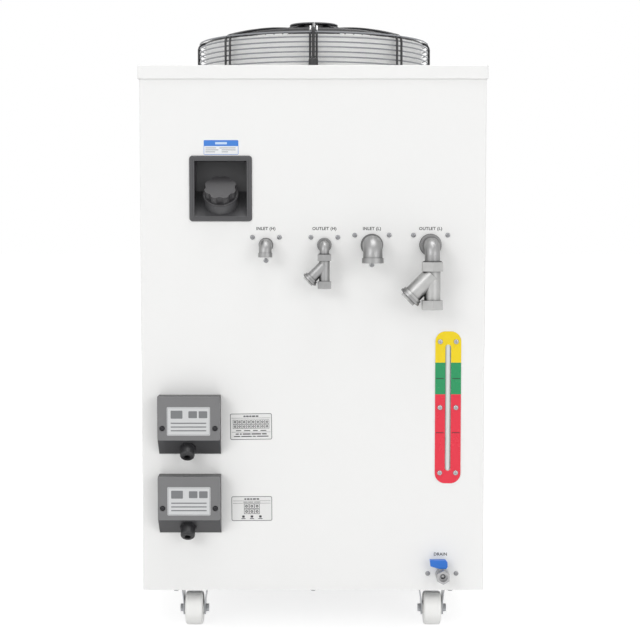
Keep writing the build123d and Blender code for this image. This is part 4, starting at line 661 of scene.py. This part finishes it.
branch_way = (-math.sin(math.pi / 4), 0, -math.cos(math.pi / 4))
for size, places in port_x.items():
    foot, thread, rim = foot_radius[size], thread_radius[size], rim_radius[size]
    collar = plug_radius[size] * 1.16
    joint = (places[1], front_y - reach_out[size], joint_z[size])
    start = Vector((joint[0], joint[1], joint[2] - branch_drop[size]))
    mouth = start + Vector(branch_way) * (rim_start[size] + rim_length[size])
    bead_at = start + Vector(branch_way) * (rim_start[size] + rim_length[size] * 0.55)
    rings = (
        ("port_gaskets", foot + 0.0001, foot + gasket_width[size], 0.0008,
         [(x, front_y, port_z) for x in places], (0, -1, 0), gap_shade_rubber, "seal_rubber"),
        ("sealant", thread, thread + 0.0006, 0.0014, [joint], (0, 0, 1), sealant, "seal_rubber"),
        ("plug_seal", collar, collar + 0.0012, 0.0006,
         [tuple(mouth)], branch_way, sealant, "seal_rubber"),
        ("rim_bead", rim + 0.00005, rim + 0.0016, rim_length[size] * 0.45,
         [tuple(bead_at)], branch_way, cast_steel, "stainless"),
    )
    for name, inner, outer, height, spots, facing, finish, slot in rings:
        part = ring_of(name + "_part", inner, outer, height)
        piece = set_out(f"{name}_{size}", part, spots, facing, finish)
        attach(piece, "cabinet")
        bpy.data.objects.remove(part)

# The panel's screws: pan heads with a cross recess, three round each port, six in the
# gauge plate and two beside the drain, zinc plated.
screw_circle = {"h": 0.029, "l": 0.037}
gauge_x = (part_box("gauge_plate")[0].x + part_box("gauge_plate")[1].x) / 2
gauge_thick = front_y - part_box("gauge_plate")[0].y
gauge_screw_x, gauge_screw_z = 0.0149, (0.553, 0.429, 0.3054)
drain_x, drain_z, drain_screw_x = 0.2435, 0.113, 0.0269
panel_places = []
for size, places in port_x.items():
    for x in places:
        for angle in (30, 150, 270):
            turn = math.radians(angle)
            reach = screw_circle[size]
            panel_places.append((x + reach * math.cos(turn), front_y, port_z + reach * math.sin(turn)))
panel_places += [(drain_x + s * drain_screw_x, front_y, drain_z) for s in (-1, 1)]
gauge_places = [(gauge_x + s * gauge_screw_x, front_y - gauge_thick, z)
                for z in gauge_screw_z for s in (-1, 1)]
port_screws = set_out("port_screws", pan_head, panel_places, (0, -1, 0), zinc, turn=1.5, seed=11)
bright_zinc = surface("bright_zinc_screw", shade(172, 173, 175), 0.26, metal=1.0, grain=1500.0,
                      depth=0.05, mottle=0.05)
gauge_screws = set_out("gauge_screws", pan_head, gauge_places, (0, -1, 0), bright_zinc,
                       turn=1.5, seed=12, size=1.06)
for piece in (port_screws, gauge_screws):
    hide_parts("panel_screws")
    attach(piece, "cabinet")

# The port marks: plain function words screen-printed in dark ink above each fitting
# and above the drain.
ink = printed("ink_dark", shade(30, 30, 32), 0.5, 0.03)
mark_height, mark_z, drain_mark_z = 0.0056, 0.7635, 0.1500
marks = (
    ("mark_inlet_h", "INLET (H)", port_x["h"][0], mark_z),
    ("mark_outlet_h", "OUTLET (H)", port_x["h"][1], mark_z),
    ("mark_inlet_l", "INLET (L)", port_x["l"][0], mark_z),
    ("mark_outlet_l", "OUTLET (L)", port_x["l"][1], mark_z),
    ("mark_drain", "DRAIN", 0.2405, drain_mark_z),
)


def lettering(name, words, height):
    """Flat letters of a cap height, centred on their own middle, in the XY plane."""
    text = bpy.data.curves.new(name, "FONT")
    text.body = words
    text.align_x = "CENTER"
    text.align_y = "CENTER"
    text.size = height / 0.7
    text.offset = height * 0.035
    text.space_character = 1.06
    text.resolution_u = 3
    start = bpy.data.objects.new(name, text)
    bpy.context.scene.collection.objects.link(start)
    view = bpy.context.evaluated_depsgraph_get()
    mesh = bpy.data.meshes.new_from_object(start.evaluated_get(view))
    bpy.data.objects.remove(start)
    middle = []
    for axis in (0, 1):
        along = [v.co[axis] for v in mesh.vertices]
        middle.append((min(along) + max(along)) / 2)
    mesh.transform(Matrix.Translation((-middle[0], -middle[1], 0)))
    return mesh


for name, words, x, z in marks:
    letters = on_port_side(lettering(name, words, mark_height), x, z, ink_film)
    mark = piece_of(name, letters, ink, smooth=None)
    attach(mark, "cabinet")

# The level gauge: a white plate under a printed film in three bands, with a slot that
# shows the sight tube. The bands say full, normal and low by their colour alone.
gauge_low, gauge_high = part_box("gauge_plate")[0].z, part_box("gauge_plate")[1].z
gauge_middle = (gauge_low + gauge_high) / 2
gauge_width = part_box("gauge_plate")[1].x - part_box("gauge_plate")[0].x
slot_width, slot_height, slot_z = 0.0105, 0.238, 0.4286
gauge_corner, white_rim, hole_radius = 0.020, 0.0006, 0.0030
band_edges = (0.4540, 0.5137)
tick_x, tick_z = 0.0150, (0.4837, 0.3814)
gauge_white = printed("gauge_white", shade(232, 232, 230), 0.35, 0.01)
coat(gauge_white, "gauge_plate")


def banded(name, low, middle, high, edges):
    """A glossy print whose colour steps with height."""
    print_film = surface(name, low, 0.26, grain=700.0, depth=0.02, mottle=0.02)
    tree = print_film.node_tree
    place = knot(tree, "ShaderNodeTexCoord", {})
    split = knot(tree, "ShaderNodeSeparateXYZ", {"Vector": place.outputs["Object"]})
    colour = low
    for edge, above in zip(edges, (middle, high)):
        step = knot(tree, "ShaderNodeMath", {0: split.outputs["Z"], 1: edge},
                    operation="GREATER_THAN")
        mix = knot(tree, "ShaderNodeMix", {0: step.outputs["Value"], 6: colour, 7: above},
                   data_type="RGBA")
        colour = mix.outputs[2]
    feed(tree, tree.nodes["Principled BSDF"], {"Base Color": colour})
    return print_film


band_print = banded("gauge_bands", shade(232, 42, 66), shade(24, 150, 92), shade(243, 214, 0), band_edges)
film_loops = [
    rounded(gauge_width - 2 * white_rim, gauge_high - gauge_low - 2 * white_rim,
            gauge_corner - white_rim, steps=14),
    rounded(slot_width, slot_height, slot_width / 2 - 1e-5, 0.0, slot_z - gauge_middle),
]
film_loops += [disc(hole_radius, x - gauge_x, z - gauge_middle) for x, y, z in gauge_places]
printed_sheet("gauge_film", film_loops, gauge_x, gauge_middle, gauge_thick, film, band_print)
ticks = [rounded(0.0150, 0.0013, 0.0004, side * tick_x, z - gauge_middle, 2)
         for z in tick_z for side in (-1, 1)]
printed_sheet("gauge_ticks", ticks, gauge_x, gauge_middle, gauge_thick + film, ink_film, ink)
sight = surface("sight_tube", shade(222, 227, 224), 0.18, grain=500.0, depth=0.02, mottle=0.02)
coat(sight, "sight_tube")

# The terminal boxes: black moulded boxes with a flat screwed lid over a slanting foot,
# where an empty cable gland points down and out.
box_black = surface("box_black", shade(66, 66, 68), 0.44, grain=1000.0, depth=0.16, mottle=0.04)
lid_black = surface("lid_black", shade(120, 120, 121), 0.40, grain=1000.0, depth=0.16, mottle=0.04)
coat(box_black, "terminal_boxes")
coat(lid_black, "box_lids")
lid_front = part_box("box_lids")[0].y
box_x, box_feet, box_height = -0.231, (0.192, 0.3418), 0.1113
lid_screw_x, lid_screw_drop, lid_screw_sunk = 0.049, 0.059, 0.0026
sunk_places = []
for foot in box_feet:
    for s in (-1, 1):
        sunk_places.append((box_x + s * lid_screw_x, lid_front + lid_screw_sunk,
                            foot + box_height - lid_screw_drop))
dark_steel = surface("blackened_screw", shade(60, 60, 62), 0.35, metal=0.8, grain=1500.0, depth=0.05)
lid_screws = set_out("lid_screws", pan_head, sunk_places, (0, -1, 0), dark_steel, turn=1.5, seed=21)
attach(lid_screws, "cabinet")

# The lids' plates: brushed aluminium-look film with rounded corners, left bare but for
# a plain heading field and rules.
silver_film = surface("silver_film", shade(204, 205, 206), 0.32, metal=0.35, grain=1200.0,
                      depth=0.04, mottle=0.03)
field_grey = printed("label_field_grey", shade(122, 124, 126), 0.42)
plate_width, plate_height, plate_corner, plate_drop = 0.080, 0.053, 0.002, 0.0455
lid_proud = front_y - lid_front
plate_outline = [rounded(plate_width, plate_height, plate_corner)]
plate_fields = [rounded(plate_width - inset, plate_height - inset, corner)
                for inset, corner in ((0.0024, 0.0014), (0.0034, 0.0010))]
plate_fields += [rounded(width, height, 0.0015, x, 0.0125) for width, height, x in (
    (0.022, 0.015, -0.022), (0.016, 0.013, 0.008), (0.016, 0.013, 0.027))]
plate_fields += [rounded(0.066, 0.0022, 0.0006, 0.0, y) for y in (-0.0035, -0.0105, -0.0175)]
for number, foot in zip(("lower", "upper"), box_feet):
    plate_z = foot + box_height - plate_drop
    printed_sheet(f"lid_plate_{number}", plate_outline, box_x, plate_z,
                  lid_proud, film * 2, silver_film)
    printed_sheet(f"lid_plate_print_{number}", plate_fields, box_x, plate_z,
                  lid_proud + film * 2, ink_film, field_grey)

# The wiring plates beside the boxes: thin films with a dark border and a plain table of
# terminal fields, without words.
plate_film = printed("wiring_film", shade(232, 232, 231), 0.34, 0.01)
table_ink = printed("table_ink", shade(58, 59, 62), 0.5)


def table_of(columns, rows, cell, y):
    """A table of terminal fields: each cell's border, and a mark for its screw."""
    loops = []
    for row in range(rows):
        for column in range(columns):
            cx = (column - (columns - 1) / 2) * cell
            cy = y + ((rows - 1) / 2 - row) * cell
            loops.append(rounded(cell * 0.94, cell * 0.94, cell * 0.05, cx, cy, 2))
            loops.append(rounded(cell * 0.78, cell * 0.78, cell * 0.04, cx, cy, 2))
            loops.append(disc(cell * 0.26, cx, cy, 12))
            loops.append(disc(cell * 0.10, cx, cy, 8))
    return loops


def rule_row(widths, height, y, space):
    """A row of plain bars, centred across the plate, in place of a line of words."""
    at = -(sum(widths) + space * (len(widths) - 1)) / 2
    loops = []
    for width in widths:
        loops.append(rounded(width, height, height * 0.3, at + width / 2, y, 2))
        at += width + space
    return loops


def plate_line(width, y):
    """A thin line across a plate."""
    return [rounded(width - 0.006, 0.0005, 0.0002, 0.0, y, 2)]


wiring = (
    ("upper", -0.1166, 0.3928, 0.0786, 0.0495, 0.7),
    ("lower", -0.1156, 0.2370, 0.0767, 0.0467, 0.4),
)
for name, x, z, width, height, tilt in wiring:
    top = height / 2
    border = [rounded(width - 0.0002, height - 0.0002, 0.003),
              rounded(width - 0.0022, height - 0.0022, 0.0022)]
    rules = rule_row([0.004, 0.005, 0.004, 0.006, 0.005], 0.0026, top - 0.0052, 0.0010)
    rules += plate_line(width, top - 0.0086)
    if name == "upper":
        cells = table_of(8, 2, 0.0086, 0.0045)
        rules += rule_row([0.010, 0.012, 0.009, 0.011], 0.0016, -0.0076, 0.0050)
        rules += plate_line(width, -0.0104)
        rules += rule_row([0.006, 0.004, 0.015, 0.018, 0.009], 0.0022, -0.0140, 0.0016)
        rules += rule_row([0.012, 0.020, 0.006, 0.022], 0.0018, -0.0185, 0.0016)
    else:
        cells = table_of(3, 2, 0.0100, -0.0005)
        rules += rule_row([0.008, 0.010, 0.012], 0.0012, top - 0.0110, 0.0010)
        rules += plate_line(width, top - 0.0132)
        rules += rule_row([0.005, 0.005, 0.005], 0.0042, -0.0152, 0.0110)
        rules += rule_row([0.008, 0.008, 0.008], 0.0014, -0.0192, 0.0080)
    printed_sheet(f"wiring_plate_{name}", [rounded(width, height, 0.003)],
                  x, z, 0.0, film, plate_film, tilt)
    for kind, loops in (("border", border), ("table", cells), ("rules", rules)):
        printed_sheet(f"wiring_{kind}_{name}", loops, x, z, film, ink_film, table_ink, tilt)

# The drain: a small stainless ball valve with a blue moulded lever, held to the panel
# by two screws.
coat(turned_steel, "drain_body", "drain_ball")
lever_blue = surface("lever_blue", shade(36, 112, 206), 0.34, grain=900.0, depth=0.12, mottle=0.03)
coat(lever_blue, "drain_lever")

# The casters: white nylon wheels on a steel axle, in pressed and zinc-plated forks
# that swivel on a ball race under a bolted plate.
nylon = surface("wheel_nylon", shade(253, 253, 251), 0.42, grain=500.0, depth=0.06, mottle=0.02)
fork_zinc = surface("fork_zinc", shade(182, 184, 187), 0.30, metal=1.0, grain=700.0, depth=0.10,
                    mottle=0.08, cloud=80.0)
# Painted shade: the forks' zinc darkens in its corners and seams.
painted_shade_in_hollows(fork_zinc, reach=0.010, darkest=0.35)
corners = ("front_left", "front_right", "rear_left", "rear_right")
coat(nylon, *[f"wheel_{c}" for c in corners])
coat(fork_zinc, "caster_plates", *[f"fork_{c}" for c in corners])

# The intake grilles: moulded louvres that pull off the side panels to reach the
# condensers, in the panels' white.
grille_white = surface("grille_white", shade(236, 236, 234), 0.46, grain=900.0, depth=0.10, mottle=0.01)
coat(grille_white, "left_grille", "right_grille")

# The controls on the far side: a dark moulded module with a display and three keys,
# and a black rotary switch.
control_dark = surface("control_dark", shade(58, 60, 63), 0.42, grain=900.0, depth=0.12, mottle=0.03)
key_grey = surface("key_grey", shade(190, 191, 192), 0.42, grain=900.0, depth=0.08, mottle=0.02)
switch_black = surface("switch_black", shade(34, 34, 35), 0.32, grain=900.0, depth=0.08, mottle=0.03)
coat(control_dark, "controller")
coat(key_grey, "button_set", "button_up", "button_down")
coat(switch_black, "main_switch")

# The marks on the controls: a dark window over the display, a ring and two arrowheads
# on the keys, and a pale line on the switch's grip.
rear_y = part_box("control_panel")[1].y
control_side = Matrix(((-1, 0, 0, 0), (0, 0, 1, 0), (0, 1, 0, 0), (0, 0, 0, 1)))
window_dark = surface("display_window", shade(18, 22, 24), 0.10, grain=500.0, depth=0.01, mottle=0.02)
field_dark = surface("display_field", shade(52, 64, 60), 0.20, grain=500.0, depth=0.01, mottle=0.02)
mark_dark = printed("key_mark", shade(40, 42, 46), 0.45)
line_pale = printed("switch_line", shade(232, 232, 230), 0.45)


def on_control_side(name, loops, x, z, proud, thick, material, body):
    """A thin printed piece that faces out of the control panel."""
    mesh = cut_sheet(name, loops, thick)
    mesh.transform(Matrix.Translation((x, rear_y + proud, z)) @ control_side)
    made = piece_of(name, mesh, material, smooth=None)
    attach(made, body)


display_x, display_z, display_floor, window_thick = 0.038, 0.9376, 0.0048, 0.0004
on_control_side("display_window", [rounded(0.0912, 0.0452, 0.0028)], display_x, display_z,
                display_floor, window_thick, window_dark, "cabinet")
on_control_side("display_field", [rounded(0.074, 0.030, 0.001)], display_x, display_z,
                display_floor + window_thick, 0.0001, field_dark, "cabinet")
key_z, key_face = 0.90688, 0.0085
ring = [disc(0.0026, 0, 0), disc(0.0016, 0, 0)]
arrow = [(0.0, 0.0026), (-0.0028, -0.0020), (0.0028, -0.0020)]
arrow_down = [(x, -y) for x, y in reversed(arrow)]
for name, loops, x, key in (
    ("mark_set", ring, -0.0695, "button_set"),
    ("mark_up", [arrow], -0.0475, "button_up"),
    ("mark_down", [arrow_down], -0.0255, "button_down"),
):
    on_control_side(name, loops, x, key_z, key_face, ink_film, mark_dark, key)
switch_x, switch_z, grip_face = 0.190, 0.820, 0.0280
on_control_side("switch_line", [rounded(0.0018, 0.012, 0.0008, 0.0, 0.0095)], switch_x, switch_z,
                grip_face, ink_film, line_pale, "main_switch")

# What shows inside through the fan and the louvres: the water tank, pump, compressor,
# plate exchanger, condensers and hoses.
tank_white = surface("tank_white", shade(214, 218, 218), 0.42, grain=300.0, depth=0.05, mottle=0.02)
compressor_black = surface("compressor_black", shade(32, 32, 34), 0.3, grain=500.0, depth=0.08, mottle=0.03)
pump_blue = surface("pump_blue", shade(56, 78, 108), 0.4, grain=600.0, depth=0.12, mottle=0.04)
fin_aluminium = surface("fin_aluminium", shade(176, 178, 180), 0.36, metal=1.0, grain=1200.0,
                        depth=0.30, mottle=0.06)
hose_black = surface("hose_black", shade(36, 36, 37), 0.55, grain=500.0, depth=0.12, mottle=0.05)
coat(tank_white, "water_tank")
coat(compressor_black, "compressor")
coat(pump_blue, "pump")
coat(fin_aluminium, "condensers")
coat(turned_steel, "plate_exchanger")
coat(hose_black, "water_hoses")

# The room: a pale floor that keeps the soft shadow, a white surround and broad lamps.
bpy.data.objects.remove(pan_head)
floor_mesh = bpy.data.meshes.new("floor")
floor_bm = bmesh.new()
bmesh.ops.create_grid(floor_bm, x_segments=1, y_segments=1, size=30.0)
floor_bm.to_mesh(floor_mesh)
floor_bm.free()
floor = bpy.data.objects.new("floor", floor_mesh)
bpy.context.scene.collection.objects.link(floor)


def seen_rays(tree):
    """One for rays that show the surround itself: from the camera, a mirror or glass."""
    path = knot(tree, "ShaderNodeLightPath", {}).outputs
    either = knot(tree, "ShaderNodeMath", {
        0: path["Is Camera Ray"], 1: path["Is Glossy Ray"]}, operation="MAXIMUM")
    any_of = knot(tree, "ShaderNodeMath", {
        0: either.outputs["Value"], 1: path["Is Transmission Ray"]}, operation="MAXIMUM")
    return any_of.outputs["Value"]


def level(strength):
    """A plain grey of one strength, as a shader takes it."""
    return (strength, strength, strength, 1.0)


pale = bpy.data.materials.new("floor_pale")
pale.use_nodes = True
tree = pale.node_tree
tree.nodes.clear()
matt = knot(tree, "ShaderNodeBsdfDiffuse", {"Color": level(0.42)})
glow = knot(tree, "ShaderNodeEmission", {"Strength": 0.79})
both = knot(tree, "ShaderNodeAddShader", {0: matt.outputs["BSDF"], 1: glow.outputs["Emission"]})
plain = knot(tree, "ShaderNodeBsdfDiffuse", {"Color": level(0.92)})
pick = knot(tree, "ShaderNodeMixShader", {
    "Fac": seen_rays(tree), 1: plain.outputs["BSDF"], 2: both.outputs["Shader"]})
knot(tree, "ShaderNodeOutputMaterial", {"Surface": pick.outputs["Shader"]})
floor_mesh.materials.append(pale)

world = bpy.data.worlds.new("studio")
bpy.context.scene.world = world
world.use_nodes = True
tree = world.node_tree
tree.nodes.clear()
lit = knot(tree, "ShaderNodeBackground", {"Color": level(1.0), "Strength": 0.58})
shown = knot(tree, "ShaderNodeBackground", {"Color": level(1.0), "Strength": 1.0})
pick = knot(tree, "ShaderNodeMixShader", {
    "Fac": seen_rays(tree), 1: lit.outputs["Background"], 2: shown.outputs["Background"]})
knot(tree, "ShaderNodeOutputWorld", {"Surface": pick.outputs["Shader"]})

lamp_aim = Vector((0, 0, 0.6))
for name, power, width, place in (
    ("lamp_front_left", 92.0, 3.0, (-3.6, -5.6, 3.2)),
    ("lamp_front_right", 56.0, 3.0, (3.8, -5.6, 2.2)),
    ("lamp_top", 60.0, 2.4, (0.4, -0.6, 4.6)),
    ("lamp_back", 80.0, 3.0, (1.2, 5.6, 3.0)),
):
    light = bpy.data.lights.new(name, "AREA")
    light.shape = "SQUARE"
    light.size = width
    light.energy = power
    lamp = bpy.data.objects.new(name, light)
    bpy.context.scene.collection.objects.link(lamp)
    lamp.location = place
    lamp.rotation_euler = (lamp_aim - Vector(place)).to_track_quat("-Z", "Y").to_euler()

# The camera: at the photograph's height and distance, looking slightly down.
sensor, focal_pixels, frame_pixels = 36.0, 1500, 640
camera_x, camera_away, camera_z, look_down = 0.013, 2.800, 0.782, 3.85
camera_data = bpy.data.cameras.new("camera")
camera_data.sensor_width = sensor
camera_data.lens = sensor * focal_pixels / frame_pixels
camera_data.clip_end = 100.0
camera = bpy.data.objects.new("camera", camera_data)
bpy.context.scene.collection.objects.link(camera)
camera.location = (camera_x, front_y - camera_away, camera_z)
camera.rotation_euler = (math.radians(90 - look_down), 0, 0)
bpy.context.scene.camera = camera
bpy.context.scene.view_settings.view_transform = "Standard"
